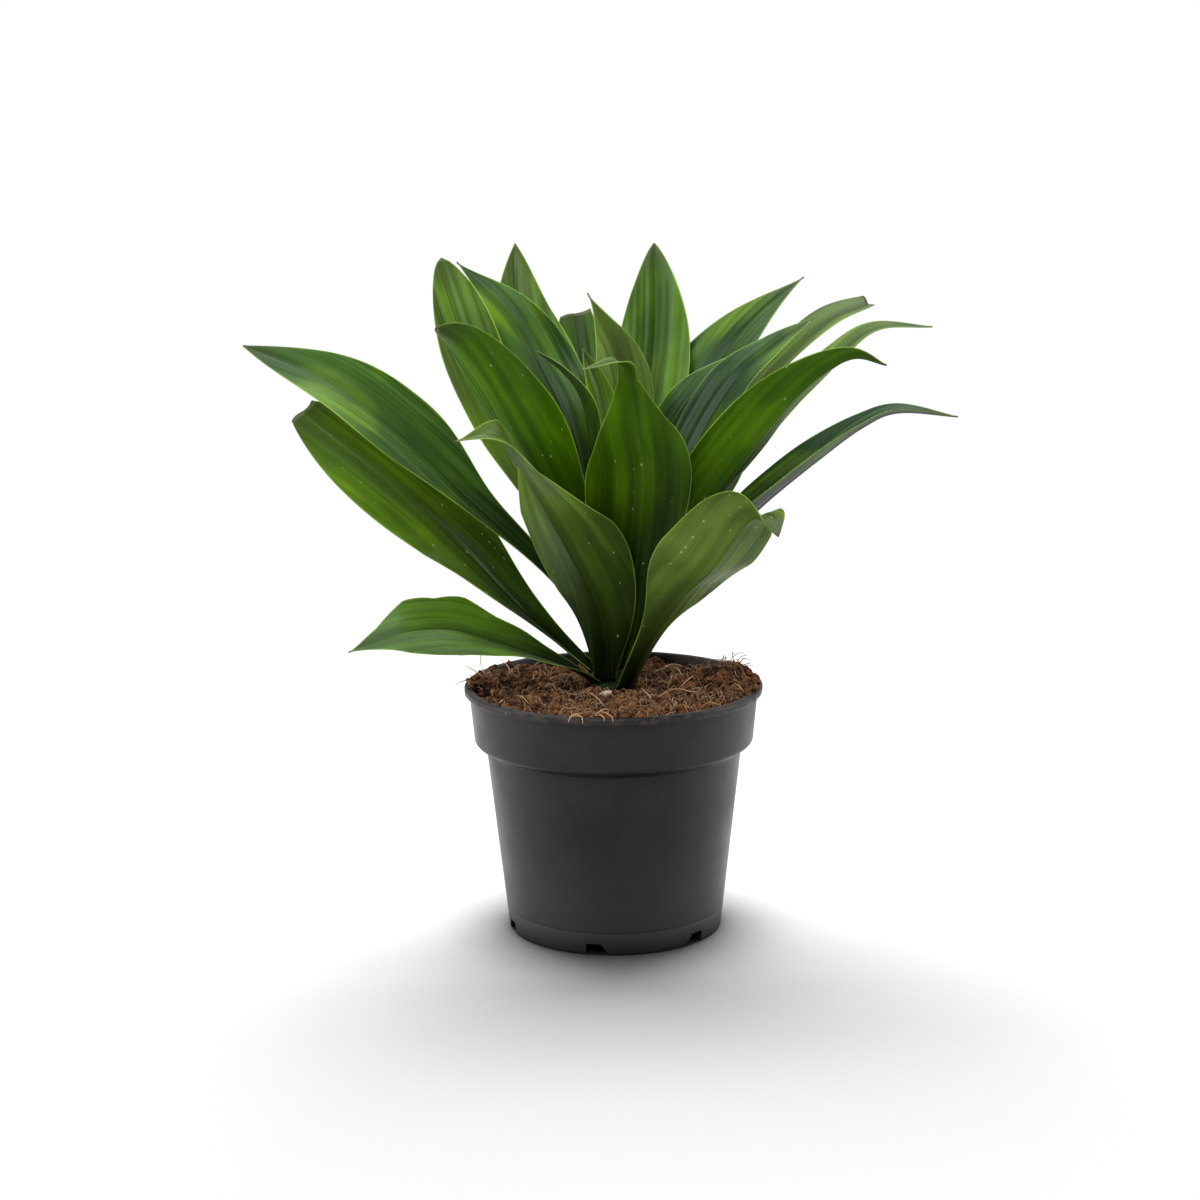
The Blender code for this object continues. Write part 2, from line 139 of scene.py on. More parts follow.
# Finer form of the blades
TIP_WIDTH = 0.7
BLADE_RINGS = 84
BLADE_COLUMNS = 45
BLADE_THICKNESS = 0.62
MARGIN_THICKNESS = 0.26
RIB_RIDGE = 0.12
RIB_RIDGE_SPREAD = 1.1
RIB_FURROW = 0.25
RIB_FURROW_SPREAD = 0.9
RIB_FADE = 0.12
KEEL_EDGE = 0.06
PLEAT_DEPTH = 0.05
PLEAT_PITCHES = (7.5, 4.6, 2.9)
PLEAT_FADE = (0.25, 0.15)
MARGIN_RIPPLE = 0.35
RIPPLE_RATES = (13.0, 23.0)
PATTERN_SPACING = 400.0
TORN_FROM = 0.93
END_RAGGED = 1.2

# Looks of the blades' two faces; the groove and rib values set how dark their painted shade is
UPPER_FACE = {
    "deep": (0.01, 0.044, 0.006),
    "fresh": (0.08, 0.165, 0.008),
    "sunny": (0.12, 0.22, 0.004),
    "vein": (0.1, 0.195, 0.055),
    "margin": (0.25, 0.4, 0.05),
    "groove_shade": 0.24, "lines": 0.13, "rib_shade": 0.66, "roughness": 0.3, "specular": 0.2,
}
UNDER_FACE = {
    "deep": (0.006, 0.032, 0.0003),
    "fresh": (0.055, 0.135, 0.0005),
    "sunny": (0.085, 0.18, 0.001),
    "vein": (0.09, 0.17, 0.006),
    "margin": (0.22, 0.36, 0.04),
    "groove_shade": 0.14, "lines": 0.09, "rib_shade": 0.72, "roughness": 0.42, "specular": 0.07,
}
# olive-grey: a dull blade's own colour, and a painted sheen on some blades
OLIVE = (0.12, 0.155, 0.04)
FADED_TIP = (0.04, 0.045, 0.02)
DRY_TIP = (0.06, 0.052, 0.024)
LEAF_SPECK = (0.42, 0.48, 0.22)
LEAF_SHEEN = (0.72, 1.0, 0.74, 1.0)

# Colours of the other materials; where there are several, they go from dark to light
CHARCOAL = ((0.0085, 0.0079, 0.0096), (0.0125, 0.0118, 0.0138))
# painted light bounced up from the floor onto the lower wall
PAINTED_FLOOR_BOUNCE = (0.028, 0.027, 0.03)
POT_FOOT = (0.013, 0.0125, 0.012)
SOIL_SMEAR = (0.075, 0.055, 0.04)
POT_DUST = (0.3, 0.28, 0.25)
PEAT = ((0.008, 0.004, 0.002), (0.07, 0.031, 0.013), (0.2, 0.1, 0.045))
COIR_PITH = ((0.03, 0.012, 0.005), (0.2, 0.083, 0.032), (0.4, 0.21, 0.09))
COIR_HAIR = ((0.12, 0.05, 0.02), (0.54, 0.33, 0.17))
PALE_WOOD = ((0.32, 0.22, 0.12), (0.8, 0.7, 0.52))
CANE_GREEN = ((0.006, 0.016, 0.003), (0.014, 0.03, 0.005))
CANE_SCAR = (0.04, 0.04, 0.02)

# Loose soil over the plain filling
SKIN_RINGS = 66
SKIN_SIDES = 360
SKIN_INNER_RADIUS = 8.6
SKIN_RADIUS = 56.3
SKIN_RISE = 1.3
SKIN_EDGE_FROM = 0.97
SKIN_EDGE_DROP = 3.0
LOOSE_HEAPS = (
    # across, along, height, spread
    (0, 0, 2.4, 12),
    (-50, 4, 1.2, 9),
    (48, 13, 4.6, 6),
    (36, 10, -3.5, 5),
    (-36, 12, -2.5, 5),
    (30, 44, -4.5, 9),
    (-20, 50, -1.8, 14),
)

# Waves and grain of the loose surface: scale, height and slice of the noise
LOOSE_WAVES = ((0.22, 1.3, 3.0), (0.6, 1.4, 5.0))
LOOSE_GRAIN = (0.55, 1.8, 8.0)

# Places and sizes of the crumbs
SPOT_RADIUS = (10.0, 55.8)
RIM_SPOT_RADIUS = (55.0, 58.4)
RIM_SPOT_HEADINGS = (8.0, 172.0)
RIM_SPOT_SPREAD = 16.0
SMALL_CRUMBS = 2400
LARGE_CRUMBS = 1100
RIM_CRUMBS = 130
SMALL_CRUMB_SIZE = (0.35, 0.8)
RIM_CRUMB_SIZE = (0.5, 1.2)
CRUMB_STRETCH = ((0.7, 1.7), (0.6, 1.2), (0.5, 0.9))
CRUMB_BUMPS = 0.75
CRUMB_SEED = 7

# Uneven sizes: the share of the draws below the middle value, then the low, middle and high value
LARGE_CRUMB_SIZE = (0.85, 0.8, 1.5, 2.3)
HAIR_LENGTH = (0.7, 5.0, 14.0, 28.0)
HAIR_ARCH = (0.8, 0.3, 1.4, 4.0)

# Coir hairs and wood chips
HAIR_SEED = 21
HAIR_ZONE = (9.5, 55.8)
HAIR_LIFT = 0.4
HAIR_RADIUS = (0.1, 0.24)
TUFT_HAIR_RADIUS = (0.12, 0.26)
FIBRE_COUNT = 1000
FIBRE_STEPS = 12
TUFT_COUNT = 60
TUFT_REACH = (2.0, 8.0)
TUFT_RISE = (1.0, 5.0)
RIGHT_TUFT_SHARE = 0.65
RIGHT_TUFT = (48.0, 12.0, 4.0)
LEFT_TUFT = (-50.0, 6.0, 4.5)
STRAY_HAIR_STEPS = 18
STRAY_HAIR_RADIUS = 0.27
STRAY_HAIR_SHADE = 0.9
STRAY_HAIRS = (
    ((-10.2, -12.8, 99.4), (-6.6, -25.5, 100), (-3.9, -35.4, 98.9)),
    ((10.9, -9.9, 100.2), (13.9, -22.1, 99.9), (16, -32.1, 98.8)),
    ((48.4, -2.2, 100.2), (49.8, -13.3, 101.2), (51.6, -17.3, 99.8)),
    ((40.8, -2.9, 99.4), (42.1, 8.3, 101.5), (44.7, 27.8, 101.6)),
    ((-17.6, -60.9, 99), (-16.8, -60.4, 101), (-15, -57, 101.4), (-12, -50, 99.8)),
    ((-17.4, -52.1, 99.4), (-14.2, -57.5, 101.2), (-12.4, -60.5, 100.9), (-12, -60.8, 98.6)),
    ((-7.4, -51.3, 99.6), (-4.3, -48.5, 101), (-1.2, -42, 99.4)),
    ((-5.5, -43.8, 99.3), (-3.1, -54.5, 101), (-1, -60.3, 101), (-0.6, -60.9, 99)),
    ((-7.4, -52.4, 99.6), (-5.5, -58.1, 101.2), (-4, -60.6, 100.8), (-3.8, -60.9, 99.4)),
    ((17, -20.6, 98.9), (24.3, -15.3, 101), (32.1, -18.6, 100.4), (35.9, -4.4, 99.2)),
    ((26.2, -5.7, 99), (30, 0, 101), (33.5, 16.8, 99.2)),
    ((25.6, 44.7, 95.5), (26.8, 26.2, 99.6), (28.8, 10.6, 98.4)),
    ((15.6, 21.8, 98.4), (25.1, 37.2, 99), (32.3, 28.4, 98.2)),
    ((-38.4, -15.1, 99), (-35.7, -25.2, 100.4), (-33.2, -30.2, 99)),
    ((-52, 9, 102), (-54, 12, 106.5), (-53.2, 13, 110.5), (-52.6, 13, 112.5)),
    ((-54, -4, 101), (-58.5, -6, 103), (-61.5, -7, 102.4), (-63.5, -7.5, 101.2)),
    ((-52, 4, 102), (-57.5, 6, 105), (-60.5, 7, 106.2)),
    ((-44, 2, 100.6), (-42, 8, 104), (-46, 16, 107)),
)
CHIP_STRETCH = (1.2, 0.5, 0.5)
CHIP_LIFT = 0.8
CHIPS = (
    # across, along, size, turn
    (-3, -13.4, 2.3, 0.5),
    (6.4, -14.2, 1.5, 1.7),
    (-43.8, -19.9, 1.3, 0.9),
)


@dataclass
class Leaf:
    """One blade, described as in the part, with its finer form and its looks.

    name is the part's name for the leaf, without "leaf_". tone goes from 0 (deep green) to 1 (fresh
    green), specks is how thick its pale specks lie, painted_root_shade is how far up from the root a
    painted shade darkens its lower part, and olive_and_sheen is how olive-grey it is, partly its own dull
    colour and partly a painted sheen. trim is the margin that is cut to a more angular line (1 or
    -1), followed by (share of the length, share of the width). slant is how far a torn end leans, in
    millimetres.
    """

    name: str
    heading: float
    root: float
    width: float
    rib: tuple
    roll: tuple = (0.0, 0.0)
    fold: tuple = (20.0, 12.0)
    widest: float = 0.6
    neck: float = 2.6
    point: float = 0.85
    beak: float = 0.0
    wave: float = 0.0
    waves: float = 2.0
    kept: float = 1.0
    tone: float = 0.4
    specks: float = 0.0
    painted_root_shade: float = 0.62
    olive_and_sheen: float = 0.0
    trim: tuple = ()
    slant: float = 0.0


LEAVES = (
    # name, heading, root, width, rib, and what differs from the other values above
    Leaf("left_droop", 203, 101, 31, ((-17, -9.5, 108), (-33, -19, 117), (-46, -25, 123), (-64, -31, 129),
         (-82, -37, 129), (-102, -42, 123)), roll=(0, -20, -30, -45, -45, -25), fold=(20, 10), widest=0.64,
         neck=4, point=1.3, wave=1, waves=1.5, tone=0.6, trim=(-1, (0, 1), (0.45, 0.95), (0.58, 1),
         (0.67, 0.86), (0.77, 1.06), (0.88, 0.8), (1, 1))),
    Leaf("front_right", 310, 99, 43.5, ((14, -21, 120), (27, -41, 143.5), (36.5, -54, 155.5),
         (51.5, -66, 177.5), (60.5, -78, 173)), roll=(0, -12, -24, -26, -36, 3), fold=(26, 31), widest=0.63,
         neck=5, point=0.6, tone=0.9, specks=1, olive_and_sheen=0.55, trim=(1, (0, 1), (0.86, 1), (0.93, 0.85),
         (1, 0.55))),
    Leaf("rear_low", 84, 100, 38, ((6, 36, 128), (10, 75, 146), (12, 112, 150))),
    Leaf("left_low", 166, 104, 40, ((-20, 6, 114), (-39, 14, 130), (-59, 22, 150), (-86, 30, 174.5),
         (-127, 38, 206.5)), roll=(0, -45, -45), fold=(16, 8), widest=0.66, neck=2.3, point=0.75, kept=0.95,
         tone=1, specks=0.5, painted_root_shade=0.8),
    Leaf("front_left", 243, 103, 48, ((-6, -19, 130), (-15, -32, 155), (-36, -58, 199), (-43, -72, 211),
         (-57, -84, 210)), roll=(0, 5, -8, -45, -50), fold=(20, 15), widest=0.47, neck=1.35, point=1.4,
         tone=0.75, specks=0.5, olive_and_sheen=0.35),
    Leaf("right_low", 355, 104, 33, ((20, -2, 130), (37, -3, 150), (60, -5, 173), (82, -7, 191.5),
         (98, -8, 203.5), (112, -9, 209.5), (135, -12, 208)), roll=(0, 6, 6), fold=(27, 20), widest=0.5,
         neck=2.8, point=1, tone=0, painted_root_shade=1),
    Leaf("rear_low_left", 114, 107, 36, ((-10, 34, 142), (-20, 66, 172), (-24, 100, 188))),
    Leaf("front", 280, 108, 43.5, ((6, -18, 133), (11, -42, 185), (8.5, -54, 209), (6, -61, 226),
         (3, -68, 236), (-11, -80, 235)), roll=(0, 0, 0, 0, 0, 0, 0, 0, -10, -50, -55), fold=(18, 20),
         widest=0.52, neck=1.8, point=2.8, beak=8, tone=0.85, specks=0.5, painted_root_shade=0.95),
    Leaf("rear_low_right", 50, 109, 36, ((24, 30, 146), (44, 56, 176), (60, 80, 196))),
    Leaf("left_high", 180, 111, 38, ((-15, 3, 130), (-35, 8, 153), (-60, 12, 176), (-86, 16, 201),
         (-112, 19, 220), (-147, 21, 235)), roll=(0, -45, -42, -48), fold=(22, 6), widest=0.63, neck=8,
         point=0.9, tone=0.3),
    Leaf("right_mid", 330, 113, 40, ((16, -10, 138), (37, -19, 175), (55, -28, 201), (74, -35, 223),
         (90, -41, 234), (103, -46, 232)), roll=(0, -18, -15), fold=(24, 24), widest=0.58, neck=3.6,
         point=0.9, tone=0.7, specks=0.3),
    Leaf("mid_left", 215, 119, 46, ((-19, -18, 163), (-31, -25, 192), (-44, -31, 218.5), (-56, -36, 238),
         (-66, -39, 247)), roll=(0, 10, 10), fold=(22, 18), widest=0.66, neck=2.5, point=0.5, tone=0.6,
         specks=0.4),
    Leaf("back_left_tall", 144, 118, 34, ((-15, 14, 148), (-33, 34, 178), (-48.5, 54, 208), (-60, 70, 234),
         (-71, 86, 265)), roll=(0, -25, -25), fold=(15, 10), widest=0.66, point=0.6, tone=0.8, painted_root_shade=0.3,
         olive_and_sheen=0.2),
    Leaf("right_thin", 15, 119, 23, ((28, 12, 160), (57, 22, 190), (77, 28, 212), (93, 32, 228),
         (108, 35, 238), (131, 38, 238.5)), roll=(0, 8, 8), tone=0.7, painted_root_shade=0.4, olive_and_sheen=0.3),
    Leaf("rear_mid", 82, 122, 34, ((4, 38, 162), (6, 70, 190), (8, 98, 204))),
    Leaf("right_cut", 40, 126, 21, ((20, 30, 169), (43, 50, 190), (63, 62, 212), (77, 68, 226),
         (93, 74, 238.5), (110, 78, 245)), widest=0.8, neck=4.5, kept=0.92, tone=1, painted_root_shade=0.15, olive_and_sheen=0.3),
    Leaf("back_cut", 108, 130, 25, ((-7, 56, 198), (-12, 76, 221), (-15, 90, 241)), neck=3.5, kept=0.86,
         painted_root_shade=0.9, slant=2.5),
    Leaf("right_inner_dark", 16, 132, 24, ((19, 5, 157), (34, 14, 194), (50, 22, 219), (66, 30, 232),
         (82, 38, 242)), roll=(0, 30, 25), tone=0.1, painted_root_shade=1.15),
    Leaf("back_left", 125, 134, 34, ((-19, 38, 189), (-29, 55, 220), (-37, 68, 244), (-39.5, 82, 271)),
         roll=(0, -10, -10), tone=0.8, painted_root_shade=0.2, olive_and_sheen=0.25),
    Leaf("back_right", 55, 141, 37, ((30, 44, 197), (42, 52, 218.5), (54, 60, 234), (67, 69, 245.5),
         (82, 80, 256)), widest=0.5, point=1.2, tone=0.25, painted_root_shade=0.8),
    Leaf("left_inner_dark", 157, 139, 31, ((-16, 20, 196), (-28, 30, 224), (-41, 36, 246), (-62, 43, 266)),
         roll=(0, -40, -40), neck=3.5, point=1.25, tone=0.3, painted_root_shade=0.95),
    Leaf("back_tall", 85, 145, 33, ((14, 45, 201), (18.5, 60, 228), (19.5, 70, 250), (19, 77, 271)),
         point=0.75, tone=0.55),
    Leaf("right_inner_light", 48, 148, 20, ((13, 22, 179), (23, 32, 197), (35, 38, 213), (56, 46, 229)),
         tone=0.15, painted_root_shade=1),
    Leaf("left_inner_small", 195, 151, 20, ((-8, -5, 180), (-9, -7, 203), (-12, -8, 217), (-19, -9, 227),
         (-29, -10, 235)), tone=0.3),
    Leaf("centre_dark", 85, 154, 24, ((6, 18, 204), (4, 23, 226), (-3, 27, 243), (-9, 30, 254)), point=1.5,
         tone=0.6, painted_root_shade=0.3, olive_and_sheen=0.4),
    Leaf("centre_small", 120, 160, 13, ((-1, 10, 190), (-4, 15, 213), (-11, 18, 233)), roll=(0, -15, -15),
         tone=1, painted_root_shade=0.15),
)


def feed(socket, value):
    """Connect another node's output to a socket, or give the socket a value."""
    if isinstance(value, bpy.types.NodeSocket):
        socket.id_data.links.new(value, socket)
    else:
        socket.default_value = value


def add_node(tree, kind, sockets=None, **settings):
    """Add a shader node with its settings and what feeds its sockets."""
    made = tree.nodes.new("ShaderNode" + kind)
    for name, value in settings.items():
        setattr(made, name, value)
    for key, value in (sockets or {}).items():
        feed(made.inputs[key], value)
    return made


def calculate(operation, first, second=0.0):
    return add_node(first.id_data, "Math", {0: first, 1: second}, operation=operation).outputs[0]


def multiply(first, *others):
    """The product of several values."""
    for other in others:
        first = calculate("MULTIPLY", first, other)
    return first


def blend(factor, first, second, blend_type="MIX"):
    """Blend two colours, three numbers or an output each; with a plain factor the first is an output."""
    tree = (factor if isinstance(factor, bpy.types.NodeSocket) else first).id_data
    first, second = ((*tint, 1.0) if isinstance(tint, tuple) else tint for tint in (first, second))
    sockets = {0: factor, 6: first, 7: second}
    return add_node(tree, "Mix", sockets, data_type="RGBA", blend_type=blend_type).outputs[2]


def lay_over(colour, *layers):
    """Blend colours over the first one, each with its own factor."""
    for factor, tint in layers:
        colour = blend(factor, colour, tint)
    return colour


def ramp(value, low, high, at_low=0.0, at_high=1.0):
    """A smooth step from at_low to at_high as value goes from low to high."""
    sockets = {"Value": value, "From Min": low, "From Max": high, "To Min": at_low, "To Max": at_high}
    return add_node(value.id_data, "MapRange", sockets, interpolation_type="SMOOTHSTEP").outputs[0]


def plain_noise(place, scale, detail, roughness=0.5):
    sockets = {"Vector": place, "Scale": scale, "Detail": detail, "Roughness": roughness}
    return add_node(place.id_data, "TexNoise", sockets).outputs[0]


def stretched_place(parts, scales):
    """A place made of separate coordinates, each with its own scale."""
    scaled = [multiply(part, scale) for part, scale in zip(parts, scales)]
    return add_node(scaled[0].id_data, "CombineXYZ", dict(enumerate(scaled))).outputs[0]


def stretched_noise(parts, scales, detail):
    """Noise that can be drawn out along a blade."""
    return plain_noise(stretched_place(parts, scales), 1.0, detail, roughness=0.55)


def split(vector):
    return add_node(vector.id_data, "SeparateXYZ", {0: vector}).outputs


def read_attribute(tree, name):
    return split(add_node(tree, "Attribute", attribute_name=name).outputs["Vector"])


def object_place(tree):
    return add_node(tree, "TexCoord").outputs["Object"]


def grey_of(value):
    return add_node(value.id_data, "CombineXYZ", {0: value, 1: value, 2: value}).outputs[0]


def new_material(name):
    material = bpy.data.materials.new(name)
    material.use_nodes = True
    tree = material.node_tree
    return material, tree, tree.nodes["Principled BSDF"]


def set_look(shader, colour, roughness, specular=0.5):
    """Feed the colour and the roughness, and set the strength of the gloss."""
    feed(shader.inputs["Base Color"], colour)
    feed(shader.inputs["Roughness"], roughness)
    shader.inputs["Specular IOR Level"].default_value = specular


def add_bump(shader, height, strength, distance):
    sockets = {"Height": height, "Strength": strength, "Distance": distance}
    bump = add_node(shader.id_data, "Bump", sockets)
    feed(shader.inputs["Normal"], bump.outputs[0])


def leaf_specks(aside, run, fine, amount):
    """Small pale specks scattered over a blade, more of them where amount is higher."""
    tree = aside.id_data
    place = stretched_place((aside, run), (0.3, 0.2))
    spots = add_node(tree, "TexVoronoi", {"Vector": place, "Scale": 1.0}, voronoi_dimensions="2D")
    chosen = add_node(tree, "SeparateColor", {0: spots.outputs["Color"]}).outputs[0]
    size = ramp(fine, 0.35, 0.65, 0.02, 0.14)
    past_edge = calculate("SUBTRACT", spots.outputs["Distance"], size)
    near = ramp(past_edge, -0.05, 0.01, 0.5, 0.0)
    return multiply(near, calculate("LESS_THAN", chosen, multiply(amount, 0.18)))


def leaf_material(name, face):
    """Green blade with lengthwise streaks, a pale margin and a dry tip, and painted shade in grooves, rib and
    root.
    """
    material, tree, shader = new_material(name)
    _, along, tone = read_attribute(tree, "blade_place")
    aside, run, edge = read_attribute(tree, "blade_reach")
    specks, painted_root_shade, olive_and_sheen = read_attribute(tree, "blade_marks_and_shade")
    off_rib = calculate("ABSOLUTE", aside)
    broad = stretched_noise((aside, run), (0.16, 0.007), 1.0)
    streak = stretched_noise((aside, run), (0.55, 0.007), 1.0)
    fine = stretched_noise((aside, run), (1.5, 0.012), 0.0)
    cloud = stretched_noise((aside, run), (0.06, 0.022), 2.0)

    sunlit = ramp(cloud, 0.5, 0.68, 0.0, 0.45)
    # the olive-grey mix is partly a dull blade's own colour and partly a painted sheen
    colour = lay_over(face["deep"], (tone, face["fresh"]), (sunlit, face["sunny"]), (olive_and_sheen, OLIVE))
    shade = multiply(
        ramp(broad, 0.36, 0.66, 0.72, 1.22),
        ramp(cloud, 0.32, 0.62, 0.74, 1.12),
        ramp(fine, 0.3, 0.7, 0.94, 1.06),
        # painted shade: darker lengthwise lines in the grooves between the veins
        ramp(streak, 0.34, 0.5, 1.0 - face["groove_shade"], 1.0),
        # painted shade: the blade darkens towards its root, up to the share of its length set for each leaf
        ramp(along, 0.05, painted_root_shade, 0.1, 1.0),
        # painted shade: a darker band along the rib, where the upper face has its furrow
        ramp(off_rib, 0.5, 7.0, face["rib_shade"], 1.0),
    )
    colour = blend(1.0, colour, grey_of(shade), "MULTIPLY")
    rim = multiply(
        ramp(edge, 0.15, 0.55, 1.0, 0.0),
        ramp(cloud, 0.35, 0.62, 0.28, 0.7),
    )
    uneven_end = calculate("ADD", along, multiply(fine, 0.01))
    speck = leaf_specks(aside, run, fine, specks)
    colour = lay_over(
        colour,
        (ramp(streak, 0.54, 0.74, 0.0, face["lines"]), face["vein"]),
        (rim, face["margin"]),
        (ramp(along, 0.9, 0.99, 0.0, 0.45), FADED_TIP),
        (ramp(uneven_end, 0.997, 1.004), DRY_TIP),
        (speck, LEAF_SPECK),
    )

    rough = ramp(streak, 0.3, 0.7, face["roughness"] - 0.06, face["roughness"] + 0.1)
    rough = calculate("ADD", rough, multiply(speck, 0.4))
    set_look(shader, colour, rough, face["specular"])
    shader.inputs["Specular Tint"].default_value = LEAF_SHEEN
    return material


def pot_material():
    """Charcoal plastic, a little mottled, with dust and soil scuffs near the lip, and painted bounce light
    low down.
    """
    material, tree, shader = new_material("charcoal_plastic")
    place = object_place(tree)
    height = split(place)["Z"]
    mottle = plain_noise(place, 60.0, 3.0)
    grain = plain_noise(place, 1500.0, 2.0)
    dust = plain_noise(place, 260.0, 4.0)
    near_lip = ramp(height, 0.094, 0.0995)
    scuff = multiply(near_lip, ramp(dust, 0.46, 0.62))
    cells = add_node(tree, "TexVoronoi", {"Vector": place, "Scale": 170.0})
    pick = add_node(tree, "SeparateColor", {0: cells.outputs["Color"]}).outputs[0]
    speck = multiply(
        ramp(cells.outputs["Distance"], 0.05, 0.11, 1.0, 0.0),
        calculate("GREATER_THAN", pick, 0.86),
        ramp(height, 0.06, 0.078),
        ramp(mottle, 0.46, 0.6),
        0.6,
    )
    colour = lay_over(
        blend(ramp(mottle, 0.35, 0.65), *CHARCOAL),
        # painted light: the wall is lighter towards its foot, as if lit from the floor
        (ramp(height, 0.008, 0.055, 1.0, 0.0), PAINTED_FLOOR_BOUNCE),
        (ramp(height, 0.0, 0.01, 0.7, 0.0), POT_FOOT),
        (multiply(scuff, 0.45), SOIL_SMEAR),
        (speck, POT_DUST),
    )
    rough = ramp(mottle, 0.3, 0.7, 0.36, 0.46)
    rough = calculate("ADD", rough, multiply(scuff, 0.3))
    add_bump(shader, grain, 0.12, 0.0002)
    set_look(shader, colour, rough, 0.27)
    return material


def soil_material(name, dark, light, pale):
    """Brown coir and peat, in patches of two shades with pale bits."""
    material, tree, shader = new_material(name)
    place = object_place(tree)
    patches = plain_noise(place, 140.0, 4.0)
    crumbs = plain_noise(place, 700.0, 5.0)
    colour = blend(ramp(patches, 0.36, 0.64), dark, light)
    colour = blend(ramp(crumbs, 0.56, 0.76, 0.0, 0.6), colour, pale)
    add_bump(shader, crumbs, 0.9, 0.0012)
    set_look(shader, colour, 0.95, 0.2)
    return material


def fibre_material():
    """Tan coir hairs, each with its own shade."""
    material, tree, shader = new_material("coir_fibre")
    shade = add_node(tree, "Attribute", attribute_name="shade").outputs["Fac"]
    set_look(shader, blend(shade, *COIR_HAIR), 0.6, 0.35)
    return material


def chip_material():
    material, tree, shader = new_material("pale_chip")
    grain = plain_noise(object_place(tree), 900.0, 3.0)
    set_look(shader, blend(grain, *PALE_WOOD), 0.7)
    return material


def stem_material():
    """Green cane with the pale rings of old leaf scars."""
    material, tree, shader = new_material("green_cane")
    place = object_place(tree)
    rings = add_node(tree, "TexWave", {"Vector": place, "Scale": 90.0, "Distortion": 1.5, "Detail": 2.0},
                     wave_type="BANDS", bands_direction="Z").outputs["Fac"]
    colour = blend(plain_noise(place, 200.0, 3.0), *CANE_GREEN)
    colour = blend(ramp(rings, 0.8, 0.98, 0.0, 0.3), colour, CANE_SCAR)
    add_bump(shader, rings, 0.4, 0.0005)
    set_look(shader, colour, 0.8, 0.15)
    return material


def add_object(name, data):
    """Make one named object and put it in the scene."""
    thing = bpy.data.objects.new(name, data)
    bpy.context.scene.collection.objects.link(thing)
    return thing


def link_mesh(name, points_mm, faces, materials, smooth=True):
    """Make one named object from points in millimetres and its faces."""
    mesh = bpy.data.meshes.new(name)
    mesh.from_pydata((np.asarray(points_mm, dtype=float) * MM).tolist(), [], faces)
    for material in materials:
        mesh.materials.append(material)
    if smooth:
        mesh.shade_smooth()
    return add_object(name, mesh)


def add_copy(points, faces, more_points, more_faces):
    """Add a form to lists of points and faces."""
    first = len(points)
    points.extend(more_points.tolist())
    faces.extend(tuple(first + corner for corner in face) for face in more_faces)


def dress(thing, slot, *nodes):
    """Let a piece ride on the plant's body and hide the nodes that it stands for; the finish named by slot is
    not used.
    """
    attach(thing, "root")
    if nodes:
        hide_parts(*nodes)


def set_attribute(mesh, name, kind, values):
    attribute = mesh.attributes.new(name, kind, "POINT")
    field = "vector" if kind == "FLOAT_VECTOR" else "value"
    attribute.data.foreach_set(field, np.asarray(values, dtype=np.float32).ravel())


def smooth_path(points, count):
    """Points evenly spaced along a smooth curve through the given ones (Catmull-Rom)."""
    knots = np.array(points, dtype=float)
    first = 2.0 * knots[0] - knots[1]
    last = 2.0 * knots[-1] - knots[-2]
    knots = np.vstack([first, knots, last])
    dense = []
    for index in range(1, len(knots) - 2):
        p0, p1, p2, p3 = knots[index - 1:index + 3]
        for share in np.linspace(0.0, 1.0, CURVE_STEPS, endpoint=False):
            dense.append(0.5 * (2.0 * p1 + (p2 - p0) * share
                                + (2.0 * p0 - 5.0 * p1 + 4.0 * p2 - p3) * share ** 2
                                + (3.0 * p1 - p0 - 3.0 * p2 + p3) * share ** 3))
    dense.append(knots[-2])
    dense = np.array(dense)
    steps = np.linalg.norm(np.diff(dense, axis=0), axis=1)
    run = np.concatenate([[0.0], np.cumsum(steps)])
    wanted = np.linspace(0.0, run[-1], count)
    path = np.stack([np.interp(wanted, run, dense[:, axis]) for axis in range(3)], axis=1)
    return path, run[-1]


def unit(vector):
    return vector / np.linalg.norm(vector)


def on_circle(radius, angle):
    return radius * cos(angle), radius * sin(angle)


def rib_frames(path, heading, roll):
    """Side and upper-face directions along the rib, turned as little as the curve allows."""
    angle = radians(heading)
    side = np.array([-sin(angle), cos(angle), 0.0])
    tangents = np.gradient(path, axis=0)
    count = len(path)
    frames = []
    for index in range(count):
        along = unit(tangents[index])
        side = unit(side - along * np.dot(side, along))
        upper = np.cross(along, side)
        share = index / (count - 1)
        turn = radians(np.interp(share, np.linspace(0.0, 1.0, len(roll)), roll))
        frames.append((side * cos(turn) + upper * sin(turn),
                       upper * cos(turn) - side * sin(turn), along))
    return frames


def half_width(leaf, share):
    """Half of the blade's width at a share of its length."""
    share = share * leaf.kept
    base = BASE_WIDTH / leaf.width
    if share < leaf.widest:
        rise = sin(0.5 * pi * share / leaf.widest)
        width = base + (1.0 - base) * rise ** leaf.neck
    else:
        fall = cos(0.5 * pi * (share - leaf.widest) / (1.0 - leaf.widest))
        width = max(fall, 0.0) ** leaf.point
    beak = leaf.beak * min((1.0 - share) / BEAK_TAPER, 1.0)
    return 0.5 * max(leaf.width * width, beak, TIP_WIDTH)


def blade_places():
    """Places across a blade from -1 to 1, with extra ones at the margins and beside the rib."""
    even = np.linspace(-1.0, 1.0, BLADE_COLUMNS)
    return np.unique(np.concatenate([even, (-0.985, -0.02, 0.02, 0.985)]))


